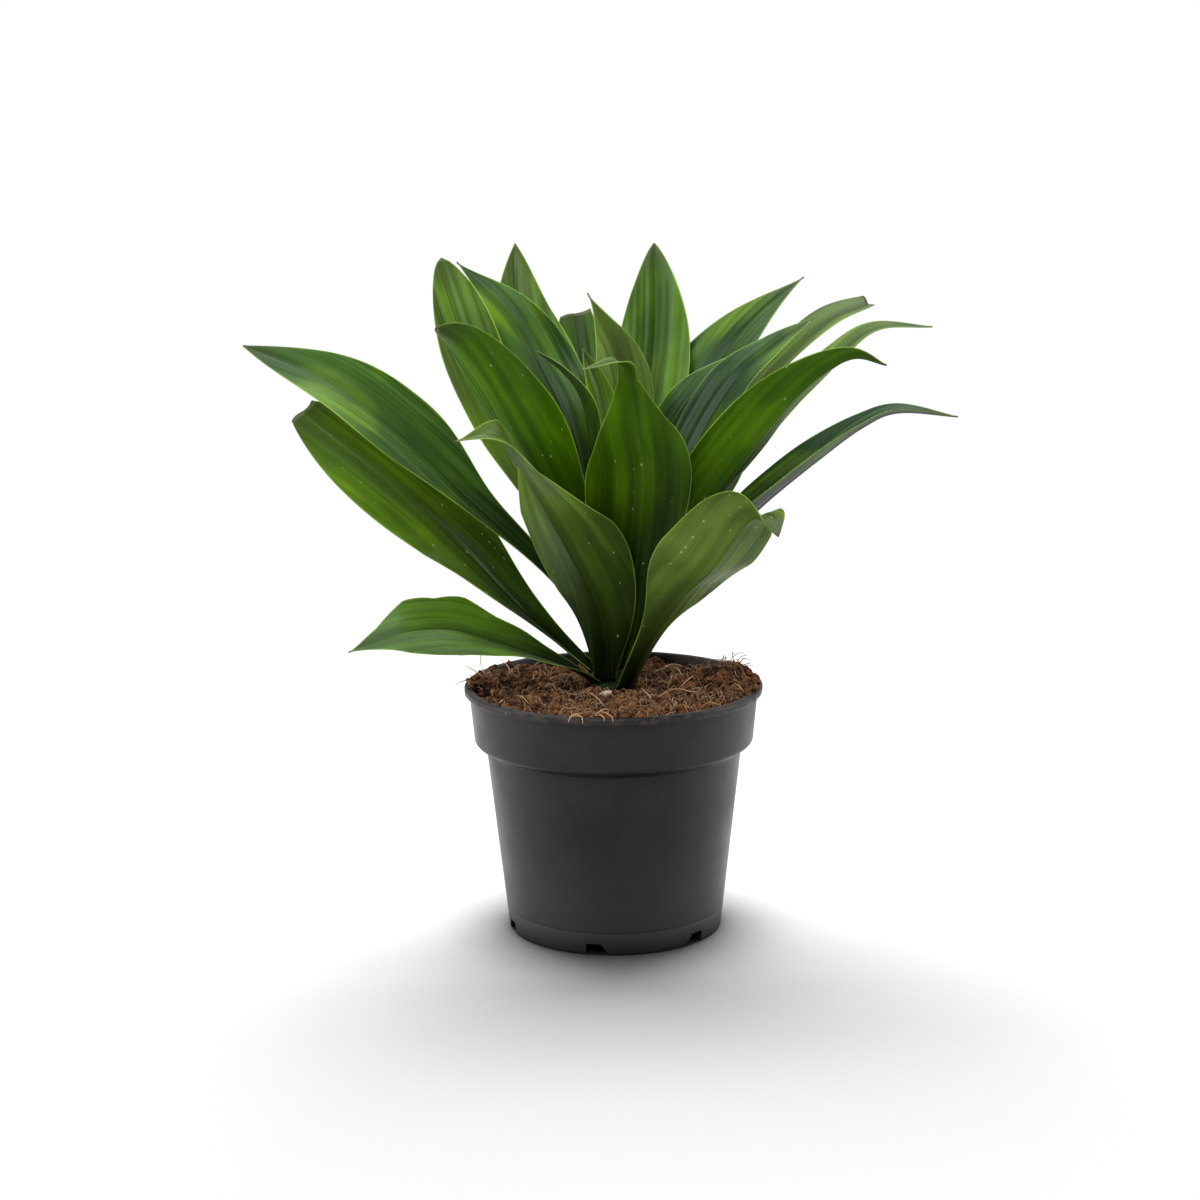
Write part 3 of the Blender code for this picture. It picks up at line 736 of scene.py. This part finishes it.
def pleats(leaf_number, aside, places, share):
    """Lengthwise furrows of several pitches, fading towards the margins, the root and the tip."""
    at_root, at_tip = PLEAT_FADE
    fade = (1.0 - places ** 6) * min(share / at_root, 1.0) * min((1.0 - share) / at_tip, 1.0)
    drift = 0.6 * sin(5.0 * share + leaf_number)
    depth = np.zeros_like(places)
    for order, pitch in enumerate(PLEAT_PITCHES):
        depth += np.cos(tau * aside / pitch + 1.7 * leaf_number * (order + 1) + drift)
    return PLEAT_DEPTH * fade * depth


def ripples(leaf, number, places, share):
    """Waves and small ripples of the margins."""
    sign = np.sign(places)
    turn = tau * leaf.waves * share + WAVE_LAG * sign
    slow, quick = RIPPLE_RATES
    flutter = np.sin(slow * share + 2.1 * number + 2.0 * sign) + np.sin(quick * share + number)
    height = leaf.wave * places ** 2 * np.sin(turn) + MARGIN_RIPPLE * places ** 4 * flutter
    return sin(pi * share) * height


def trimmed_widths(leaf, share, places):
    """How much of the width a trimmed margin leaves at each place across."""
    kept = np.ones_like(places)
    if leaf.trim:
        margin, *steps = leaf.trim
        kept[places * margin > 0.0] = np.interp(share, *zip(*steps))
    return kept


def blade_surface(leaf, number):
    """Middle points, upper directions and reach over a fine grid, and its places across."""
    angle = radians(leaf.heading)
    seat = np.interp(leaf.root, *zip(*STEM_PROFILE)) + SEAT_GAP + 0.5 * RIB_THICKNESS
    path, length = smooth_path(((*on_circle(seat, angle), leaf.root), *leaf.rib), BLADE_RINGS)
    frames = rib_frames(path, leaf.heading, leaf.roll)
    places = blade_places()
    sign = np.sign(places)
    size = np.abs(places)
    ragged = leaf.slant * places + END_RAGGED * (0.5 + 0.5 * np.sin(3.0 * places + number))
    middles, uppers, reach = [], [], []
    for index in range(BLADE_RINGS):
        share = index / (BLADE_RINGS - 1)
        side, upper, along = frames[index]
        half = half_width(leaf, share) * trimmed_widths(leaf, share, places)
        fold = radians(np.interp(share, (0.0, FOLD_STATION, 1.0), (BASE_FOLD, *leaf.fold)))
        keel = min(share / KEEL_STATION, 1.0)
        bow = 2.0 * fold * size
        out = (1.0 - keel) * np.sin(bow) / (2.0 * fold) + keel * size * cos(fold)
        rise = (1.0 - keel) * (1.0 - np.cos(bow)) / (2.0 * fold) + keel * size * sin(fold)
        tilt = (1.0 - keel) * bow + keel * fold * np.minimum(size / KEEL_EDGE, 1.0)
        aside = places * half
        lift = ripples(leaf, number, places, share) + pleats(number, aside, places, share)
        point = path[index] + np.outer(sign * out * half, side) + np.outer(rise * half + lift, upper)
        if leaf.kept < 1.0:
            point -= np.outer(ragged * max(0.0, (share - TORN_FROM) / (1.0 - TORN_FROM)), along)
        direction = np.outer(np.cos(tilt), upper) - np.outer(sign * np.sin(tilt), side)
        middles.append(point)
        uppers.append(direction / np.linalg.norm(direction, axis=1)[:, None])
        run = np.full_like(places, share * length + PATTERN_SPACING * number)
        reach.append(np.stack([aside, run, half * (1.0 - size)], axis=1))
    return np.array(middles), np.array(uppers), np.array(reach), places


def blade_faces(rings, columns):
    """Faces of a closed blade, and for each of them 1 on the underside and 0 elsewhere."""
    below = rings * columns
    last = columns - 1
    faces, kinds = [], []
    for ring in range(rings - 1):
        here = ring * columns
        after = here + columns
        for column in range(last):
            a, b = here + column, here + column + 1
            c, d = after + column + 1, after + column
            faces += [(a, d, c, b), (below + a, below + b, below + c, below + d)]
            kinds += [0, 1]
        faces.append((here, below + here, below + after, after))
        faces.append((here + last, after + last, below + after + last, below + here + last))
        kinds += [0, 0]
    for here, flip in ((0, -1), ((rings - 1) * columns, 1)):
        for column in range(last):
            a, b = here + column, here + column + 1
            faces.append((a, below + a, below + b, b)[::flip])
            kinds.append(0)
    return faces, kinds


def make_blade(leaf, number, materials):
    """A thin closed blade, with its upper face, underside and margin."""
    middles, uppers, reach, places = blade_surface(leaf, number)
    rings, columns = middles.shape[:2]
    aside = reach[:, :, 0]
    thickness = MARGIN_THICKNESS + (BLADE_THICKNESS - MARGIN_THICKNESS) * (1.0 - np.abs(places) ** 3)
    shares = np.linspace(0.0, 1.0, rings)[:, None]
    fade = np.minimum((1.0 - shares) / RIB_FADE, 1.0)
    furrow = RIB_FURROW * fade * np.exp(-(aside / RIB_FURROW_SPREAD) ** 2)
    ridge = RIB_RIDGE * fade * np.exp(-(aside / RIB_RIDGE_SPREAD) ** 2)
    top = middles + uppers * (0.5 * thickness - furrow)[:, :, None]
    under = middles - uppers * (0.5 * thickness + ridge)[:, :, None]
    points = np.concatenate([top.reshape(-1, 3), under.reshape(-1, 3)])
    faces, kinds = blade_faces(rings, columns)
    blade = link_mesh("blade_" + leaf.name, points, faces, materials)
    mesh = blade.data
    mesh.polygons.foreach_set("material_index", np.array(kinds, dtype=np.int32))
    place = np.stack(np.broadcast_arrays(places, shares, leaf.tone), axis=2)
    # per leaf: its specks, how far up its painted root shade reaches, and its olive-grey mix, partly a
    # painted sheen
    marks_and_shade = np.broadcast_to((leaf.specks, leaf.painted_root_shade, leaf.olive_and_sheen), reach.shape)
    for name, values in (("blade_place", place), ("blade_reach", reach), ("blade_marks_and_shade", marks_and_shade)):
        set_attribute(mesh, name, "FLOAT_VECTOR", np.concatenate([values, values]))
    mesh.update()
    dress(blade, "leaf_green", "leaf_" + leaf.name)


def rounded(corners):
    """Profile points from (radius, height, rounding) corners, with a short arc at each rounded one."""
    points = [corners[0][:2]]
    for index in range(1, len(corners) - 1):
        corner = np.array(corners[index][:2])
        rounding = corners[index][2]
        if rounding == 0.0:
            points.append(tuple(corner))
            continue
        start = corner + rounding * unit(np.array(corners[index - 1][:2]) - corner)
        end = corner + rounding * unit(np.array(corners[index + 1][:2]) - corner)
        for share in np.linspace(0.0, 1.0, ROUND_STEPS):
            bend = start * (1.0 - share) ** 2 + corner * 2.0 * share * (1.0 - share) + end * share ** 2
            points.append(tuple(bend))
    points.append(corners[-1][:2])
    return points


def turn_profile(profile, sides):
    """Turn a radius-height profile that starts and ends on the Z axis."""
    points = [(0.0, 0.0, profile[0][1]), (0.0, 0.0, profile[-1][1])]
    faces = []
    rows = profile[1:-1]
    for step in range(sides):
        angle = tau * step / sides
        for radius, height in rows:
            points.append((*on_circle(radius, angle), height))
    for step in range(sides):
        here = 2 + step * len(rows)
        there = 2 + (step + 1) % sides * len(rows)
        faces.append((0, there, here))
        for row in range(len(rows) - 1):
            faces.append((here + row, there + row, there + row + 1, here + row + 1))
        faces.append((1, here + len(rows) - 1, there + len(rows) - 1))
    return points, faces


def notch_angle(number):
    return radians(NOTCH_FIRST_HEADING + 360.0 * number / NOTCH_COUNT)


def notch_bars(top, inner, outer, bottom):
    """One bar at each drainage notch: upright on one side, slanted on the other, in mirrored pairs."""
    half = 0.5 * NOTCH_TOP_WIDTH + top - NOTCH_HEIGHT
    foot = half + NOTCH_SLANT * (top - bottom) / NOTCH_HEIGHT
    outline = ((-half, bottom), (foot, bottom), (half, top), (-half, top))
    bar_faces = [(0, 1, 2, 3), (7, 6, 5, 4), (1, 0, 4, 5), (2, 1, 5, 6), (3, 2, 6, 7), (0, 3, 7, 4)]
    points, faces = [], []
    for number in range(NOTCH_COUNT):
        out = np.array((*on_circle(1.0, notch_angle(number)), 0.0))
        aside = np.array((-out[1], out[0], 0.0)) * (-1.0) ** number
        bar = [distance * out + place * aside + (0.0, 0.0, height)
               for distance in (inner, outer) for place, height in outline]
        add_copy(points, faces, np.array(bar), bar_faces)
    return link_mesh("guide_bars", points, faces, [], smooth=False)


def drain_holes():
    """Upright round cutters, one through the roof of each tunnel."""
    low = NOTCH_HEIGHT - OVERRUN
    high = NOTCH_HEIGHT + TUNNEL_ROOF + OVERRUN
    profile = ((0.0, low), (DRAIN_HOLE_RADIUS, low), (DRAIN_HOLE_RADIUS, high), (0.0, high))
    hole_points, hole_faces = turn_profile(profile, DRAIN_HOLE_SIDES)
    points, faces = [], []
    for number in range(NOTCH_COUNT):
        shift = (*on_circle(DRAIN_HOLE_AT, notch_angle(number)), 0.0)
        add_copy(points, faces, np.array(hole_points) + shift, hole_faces)
    return link_mesh("guide_holes", points, faces, [], smooth=False)


def combine(thing, other, operation):
    """Cut one object with another, or join them, and remove the other."""
    form = bmesh.new()
    form.from_mesh(other.data)
    bmesh.ops.recalc_face_normals(form, faces=form.faces)
    form.to_mesh(other.data)
    form.free()
    boolean = thing.modifiers.new("combine", "BOOLEAN")
    boolean.operation = operation
    boolean.solver = "EXACT"
    boolean.object = other
    graph = bpy.context.evaluated_depsgraph_get()
    made = bpy.data.meshes.new_from_object(thing.evaluated_get(graph))
    before = thing.data
    thing.modifiers.clear()
    thing.data = made
    bpy.data.meshes.remove(before)
    bpy.data.objects.remove(other)


def wall_radius(height):
    """Outer radius of the pot's tapered wall."""
    return FOOT_RADIUS + (SHOULDER_RADIUS - FOOT_RADIUS) * height / SHOULDER


def make_pot(material):
    """The moulded pot, with a rolled lip, rounded edges and a fine mould line above its foot."""
    lip_bottom = POT_HEIGHT - RIM_HEIGHT
    lip_inner = COLLAR_TOP_RADIUS - WALL
    line = MOULD_LINE
    wall = [(wall_radius(height), height, 0.0)
            for height in (2.0, line - 0.3, line, line + 0.3, line + 1.0, SHOULDER - 2.0)]
    wall[2] = (wall_radius(line) - MOULD_LINE_DEPTH, line, 0.0)
    corners = (
        # radius, height, rounding
        (0.0, 0.0, 0.0),
        (FOOT_RADIUS, 0.0, 0.7),
        *wall,
        (SHOULDER_RADIUS, SHOULDER, 0.6),
        (COLLAR_BOTTOM_RADIUS, COLLAR_BOTTOM, 1.3),
        (COLLAR_BOTTOM_RADIUS + 0.3, COLLAR_BOTTOM + 4.0, 0.0),
        (COLLAR_TOP_RADIUS - 0.15, lip_bottom - 2.0, 0.0),
        (COLLAR_TOP_RADIUS, lip_bottom, 0.7),
        (RIM_RADIUS, lip_bottom, 0.9),
        (RIM_RADIUS, POT_HEIGHT, 0.8),
        (lip_inner, POT_HEIGHT, 0.8),
        (lip_inner - 0.2, POT_HEIGHT - 3.0, 0.0),
        (COLLAR_BOTTOM_RADIUS - WALL, COLLAR_BOTTOM, 1.0),
        (SHOULDER_RADIUS - WALL, SHOULDER - WALL, 1.0),
        (wall_radius(FLOOR) - WALL, FLOOR, 0.0),
        (0.0, FLOOR, 0.0),
    )
    pot = link_mesh("pot_body", *turn_profile(rounded(corners), POT_SIDES), [material])
    changes = (
        (notch_bars(NOTCH_HEIGHT + TUNNEL_ROOF, TUNNEL_INNER_RADIUS, FOOT_RADIUS - 0.5 * WALL, 0.5 * FLOOR),
         "UNION"),
        (notch_bars(NOTCH_HEIGHT, TUNNEL_INNER_RADIUS + WALL, FOOT_RADIUS + OVERRUN, -OVERRUN), "DIFFERENCE"),
        (drain_holes(), "DIFFERENCE"),
    )
    for form, operation in changes:
        combine(pot, form, operation)
    pot.data.shade_smooth()
    pot.data.set_sharp_from_angle(angle=radians(POT_SHARP_ANGLE))
    dress(pot, "pot_plastic", "pot")


def heaps_at(heaps, x, y):
    """What the heaps add at a place, in millimetres."""
    return sum(height * exp(-((x - across) ** 2 + (y - along) ** 2) / spread ** 2)
               for across, along, height, spread in heaps)


def soil_height(x, y):
    """Height of the plain filling's surface, in millimetres."""
    lumps = sin(0.33 * x + 0.7) * cos(0.29 * y) + sin(0.21 * x - 0.37 * y)
    return SOIL_LEVEL + SOIL_LUMP * lumps + heaps_at(SOIL_HEAPS, x, y)


def loose_height(x, y):
    """Height of the loose, crumbly surface that lies over the filling."""
    height = soil_height(x, y) + SKIN_RISE + heaps_at(LOOSE_HEAPS, x, y)
    for scale, depth, level in LOOSE_WAVES:
        height += depth * noise.noise(Vector((scale * x, scale * y, level)))
    scale, depth, level = LOOSE_GRAIN
    return height + depth * noise.turbulence(Vector((scale * x, scale * y, level)), 4, False)


def make_soil_skin(material):
    """The crumbly top of the soil, laid over the plain solid."""
    points = []
    for ring in range(SKIN_RINGS):
        share = ring / (SKIN_RINGS - 1)
        radius = SKIN_INNER_RADIUS + (SKIN_RADIUS - SKIN_INNER_RADIUS) * share
        drop = SKIN_EDGE_DROP * max(0.0, share - SKIN_EDGE_FROM) / (1.0 - SKIN_EDGE_FROM)
        for step in range(SKIN_SIDES):
            x, y = on_circle(radius, tau * step / SKIN_SIDES)
            points.append((x, y, loose_height(x, y) - drop))
    faces = []
    for ring in range(SKIN_RINGS - 1):
        here = ring * SKIN_SIDES
        there = here + SKIN_SIDES
        for step in range(SKIN_SIDES):
            after = (step + 1) % SKIN_SIDES
            faces.append((here + step, there + step, there + after, here + after))
    dress(link_mesh("soil_skin", points, faces, [material]), "soil_brown")


def lump_shape(fineness):
    """A small round form with 12 points, or 42 for a fineness of 2."""
    ball = bpy.data.meshes.new("lump_start")
    form = bmesh.new()
    bmesh.ops.create_icosphere(form, subdivisions=fineness, radius=1.0)
    form.to_mesh(ball)
    form.free()
    points = np.array([tuple(vertex.co) for vertex in ball.vertices])
    faces = [tuple(face.vertices) for face in ball.polygons]
    bpy.data.meshes.remove(ball)
    return points, faces


def uneven(form, depth, scale, shift):
    """How far out each point of a bumpy lump stands."""
    steps = [noise.noise(Vector(point) * scale + Vector(shift)) for point in form]
    return (1.0 + depth * np.array(steps))[:, None]


def mostly(chance, share, low, middle, high):
    """A size below the middle one for a share of the draws, and above it for the rest."""
    if chance.random() < share:
        return chance.uniform(low, middle)
    return chance.uniform(middle, high)


def random_spot(chance):
    """A place on the soil, clear of the cane and the pot's wall."""
    near, far = SPOT_RADIUS
    radius = sqrt(chance.uniform(near ** 2, far ** 2))
    return on_circle(radius, chance.uniform(0.0, tau))


def rim_spot(chance):
    """A place at the inner edge of the lip, mostly beside the two heaps."""
    heading = chance.choice(RIM_SPOT_HEADINGS) + chance.gauss(0.0, RIM_SPOT_SPREAD)
    return on_circle(chance.uniform(*RIM_SPOT_RADIUS), radians(heading))


def add_crumb(chance, number, spot, size, form, form_faces, points, faces):
    """Add one lump at a place on the loose soil, or on the lip where it lies over that."""
    x, y = spot
    scale = size * np.array([chance.uniform(low, high) for low, high in CRUMB_STRETCH])
    turn = np.array(Matrix.Rotation(chance.uniform(0.0, tau), 3, "Z")
                    @ Matrix.Rotation(chance.gauss(0.0, 0.5), 3, "Y"))
    height = loose_height(x, y) + 0.3 * size
    if hypot(x, y) > SKIN_RADIUS:
        height = max(POT_HEIGHT + 0.5 * size, height - 1.5)
    lump = form * uneven(form, CRUMB_BUMPS, 1.9, (number, 0.0, 0.0)) * scale
    add_copy(points, faces, lump @ turn.T + (x, y, height), form_faces)


def make_crumbs(material):
    """Loose crumbs of coir pith and peat, half sunk in the surface, some of them on the lip."""
    chance = random.Random(CRUMB_SEED)
    coarse = lump_shape(1)
    fine = lump_shape(2)
    points, faces = [], []
    for number in range(SMALL_CRUMBS):
        spot = random_spot(chance)
        add_crumb(chance, number, spot, chance.uniform(*SMALL_CRUMB_SIZE), *coarse, points, faces)
    for number in range(LARGE_CRUMBS):
        size = mostly(chance, *LARGE_CRUMB_SIZE)
        add_crumb(chance, number, random_spot(chance), size, *fine, points, faces)
    for number in range(RIM_CRUMBS):
        spot = rim_spot(chance)
        add_crumb(chance, number, spot, chance.uniform(*RIM_CRUMB_SIZE), *fine, points, faces)
    dress(link_mesh("soil_crumbs", points, faces, [material]), "soil_brown")


def add_hair(path, radius, shade, points, faces, shades):
    """Add one three-sided hair along a path, thinner at both ends."""
    count = len(path)
    first = len(points)
    tangents = np.gradient(path, axis=0)
    for index in range(count):
        along = unit(tangents[index])
        side = unit(np.cross(along, (0.3, 0.2, 1.0)))
        other = np.cross(along, side)
        thin = radius * (0.45 + 0.55 * sin(pi * index / (count - 1)))
        for corner in range(3):
            angle = tau * corner / 3
            points.append(path[index] + thin * (side * cos(angle) + other * sin(angle)))
            shades.append(shade)
    for index in range(count - 1):
        here = first + 3 * index
        for corner in range(3):
            after = (corner + 1) % 3
            faces.append((here + corner, here + after, here + 3 + after, here + 3 + corner))
    faces.append((first, first + 2, first + 1))
    end = first + 3 * (count - 1)
    faces.append((end, end + 1, end + 2))


def lying_hair(chance, number):
    """A curled path over the loose soil, or nothing where it would run into the cane or the wall."""
    x, y = random_spot(chance)
    length = mostly(chance, *HAIR_LENGTH)
    heading = chance.uniform(0.0, tau)
    curl = chance.gauss(0.0, 1.1)
    arch = mostly(chance, *HAIR_ARCH)
    near, far = HAIR_ZONE
    path = []
    for step in range(FIBRE_STEPS):
        share = step / (FIBRE_STEPS - 1)
        if not near < hypot(x, y) < far:
            break
        height = loose_height(x, y) + HAIR_LIFT + arch * sin(pi * share)
        path.append((x, y, height + 0.25 * sin(9.0 * share + number)))
        turn = heading + curl * share + 0.35 * sin(7.0 * share + number)
        x += length / FIBRE_STEPS * cos(turn)
        y += length / FIBRE_STEPS * sin(turn)
    return np.array(path) if len(path) > 4 else None


def tuft_hair(chance):
    """A short path that rises out of one of the two heaps."""
    across, along, spread = RIGHT_TUFT if chance.random() < RIGHT_TUFT_SHARE else LEFT_TUFT
    x = across + chance.gauss(0.0, 0.5 * spread)
    y = along + chance.gauss(0.0, 0.7 * spread)
    heading = chance.uniform(0.0, tau)
    reach = chance.uniform(*TUFT_REACH)
    rise = chance.uniform(*TUFT_RISE)
    low = loose_height(x, y)
    knots = [(x, y, low)]
    for share in (0.4, 0.75, 1.0):
        bend = heading + chance.uniform(-0.5, 0.5)
        knots.append((x + reach * share * cos(bend), y + reach * share * sin(bend),
                      low + rise * sin(2.2 * share)))
    path, _ = smooth_path(knots, FIBRE_STEPS)
    return path


def make_fibres(material):
    """Coir hairs: most lie in the surface, some stand out of the heaps, and a few hang over the lip."""
    chance = random.Random(HAIR_SEED)
    points, faces, shades = [], [], []
    for number in range(FIBRE_COUNT):
        path = lying_hair(chance, number)
        shade = chance.uniform(0.0, 1.0) ** 1.6
        if path is not None:
            add_hair(path, chance.uniform(*HAIR_RADIUS), shade, points, faces, shades)
    for number in range(TUFT_COUNT):
        path = tuft_hair(chance)
        radius = chance.uniform(*TUFT_HAIR_RADIUS)
        add_hair(path, radius, chance.uniform(0.0, 0.5), points, faces, shades)
    for knots in STRAY_HAIRS:
        path, _ = smooth_path(knots, STRAY_HAIR_STEPS)
        add_hair(path, STRAY_HAIR_RADIUS, STRAY_HAIR_SHADE, points, faces, shades)
    fibres = link_mesh("soil_fibres", points, faces, [material])
    set_attribute(fibres.data, "shade", "FLOAT", shades)
    dress(fibres, "soil_brown")


def make_chips(material):
    """Pale wood chips beside the cane."""
    form, form_faces = lump_shape(2)
    points, faces = [], []
    for number, (x, y, size, turn) in enumerate(CHIPS):
        lump = size * form * uneven(form, 0.5, 2.0, (9.0 * number, 4.0, 0.0)) * CHIP_STRETCH
        lump = lump @ np.array(Matrix.Rotation(turn, 3, "Z")).T
        add_copy(points, faces, lump + (x, y, loose_height(x, y) + CHIP_LIFT), form_faces)
    dress(link_mesh("soil_chips", points, faces, [material], smooth=False), "soil_brown")


def paint_node(node, material):
    """Give a CAD node a better material."""
    node.data.materials.clear()
    node.data.materials.append(material)


def make_camera():
    """A camera in front of the plant, which looks down a little."""
    turn = (Matrix.Rotation(radians(90.0 - CAMERA_PITCH), 4, "X")
            @ Matrix.Rotation(radians(CAMERA_ROLL), 4, "Z"))
    place = Vector(CAMERA_TARGET) + turn.to_3x3() @ Vector((0.0, 0.0, CAMERA_DISTANCE))
    data = bpy.data.cameras.new("camera")
    data.lens = LENS
    data.sensor_width = SENSOR
    camera = add_object("camera", data)
    camera.matrix_world = Matrix.Translation(place * MM) @ turn
    bpy.context.scene.camera = camera


def make_lamp(name, place, width, height, watts, receivers):
    """A soft light aimed at the plant, which lights only its receivers."""
    data = bpy.data.lights.new(name, "AREA")
    data.shape = "RECTANGLE"
    data.size = width
    data.size_y = height
    data.energy = watts
    lamp = add_object(name, data)
    lamp.location = place
    lamp.rotation_euler = (Vector(LAMP_TARGET) - Vector(place)).to_track_quat("-Z", "Y").to_euler()
    lamp.light_linking.receiver_collection = receivers


def make_floor():
    """A white floor, with a painted shadow close to the pot, that turns into a plain bright ground far from
    it.
    """
    sides = GROUND_SIDES
    points = [(*on_circle(GROUND_RADIUS, tau * step / sides), GROUND_LEVEL)
              for step in range(sides)]
    material, tree, shader = new_material("studio_floor")
    spread = add_node(tree, "VectorMath", {0: object_place(tree)}, operation="LENGTH").outputs["Value"]
    far = ramp(spread, 0.25, 0.7)
    open_sky = add_node(tree, "AmbientOcclusion", {"Distance": 0.05}, samples=8).outputs["AO"]
    # painted contact shadow: the floor's grey darkens where the occlusion node finds the pot and plant close
    # by
    tone = ramp(open_sky, 0.3, 0.98, 0.12, 0.83)
    set_look(shader, grey_of(tone), 0.9, 0.1)
    glow = add_node(tree, "Emission")
    mix = add_node(tree, "MixShader", {0: far, 1: shader.outputs[0], 2: glow.outputs[0]})
    feed(tree.nodes["Material Output"].inputs["Surface"], mix.outputs[0])
    floor = link_mesh("studio_floor", points, [tuple(range(sides))], [material], smooth=False)
    return floor


def make_world():
    """Soft grey studio light all round, dimmer from the front, with a white backdrop."""
    world = bpy.data.worlds.new("studio")
    world.use_nodes = True
    bpy.context.scene.world = world
    tree = world.node_tree
    background = tree.nodes["Background"]
    direction = add_node(tree, "TexCoord").outputs["Generated"]
    front = ramp(split(direction)["Y"], -0.5, 0.6, 0.2, 0.66)
    seen = add_node(tree, "LightPath").outputs["Is Camera Ray"]
    strength = calculate("MAXIMUM", seen, front)
    feed(background.inputs["Strength"], strength)
    background.inputs["Color"].default_value = (1.0, 1.0, 1.0, 1.0)


def make_studio():
    """Camera, world, floor and lamps; the lamps for the plant leave the floor out."""
    make_camera()
    make_world()
    floor = make_floor()
    receivers = {}
    for name in ("floor", "plant"):
        receivers[name] = bpy.data.collections.new(name + "_only")
        receivers[name].objects.link(floor)
    receivers["plant"].collection_objects[0].light_linking.link_state = "EXCLUDE"
    for name, place, width, height, watts, lit in LAMPS:
        make_lamp(name, place, width, height, watts, receivers[lit])
    bpy.context.scene.view_settings.view_transform = "Standard"


def main():
    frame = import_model()
    faces = [leaf_material("leaf_upper", UPPER_FACE), leaf_material("leaf_under", UNDER_FACE)]
    for number, leaf in enumerate(LEAVES):
        make_blade(leaf, number, faces)
    soil_brown = soil_material("peat", *PEAT)
    crumb_brown = soil_material("coir_pith", *COIR_PITH)
    make_pot(pot_material())
    paint_node(frame["nodes"]["soil"], soil_brown)
    paint_node(frame["nodes"]["stem"], stem_material())
    make_soil_skin(soil_brown)
    make_crumbs(crumb_brown)
    make_fibres(fibre_material())
    make_chips(chip_material())
    make_studio()


main()
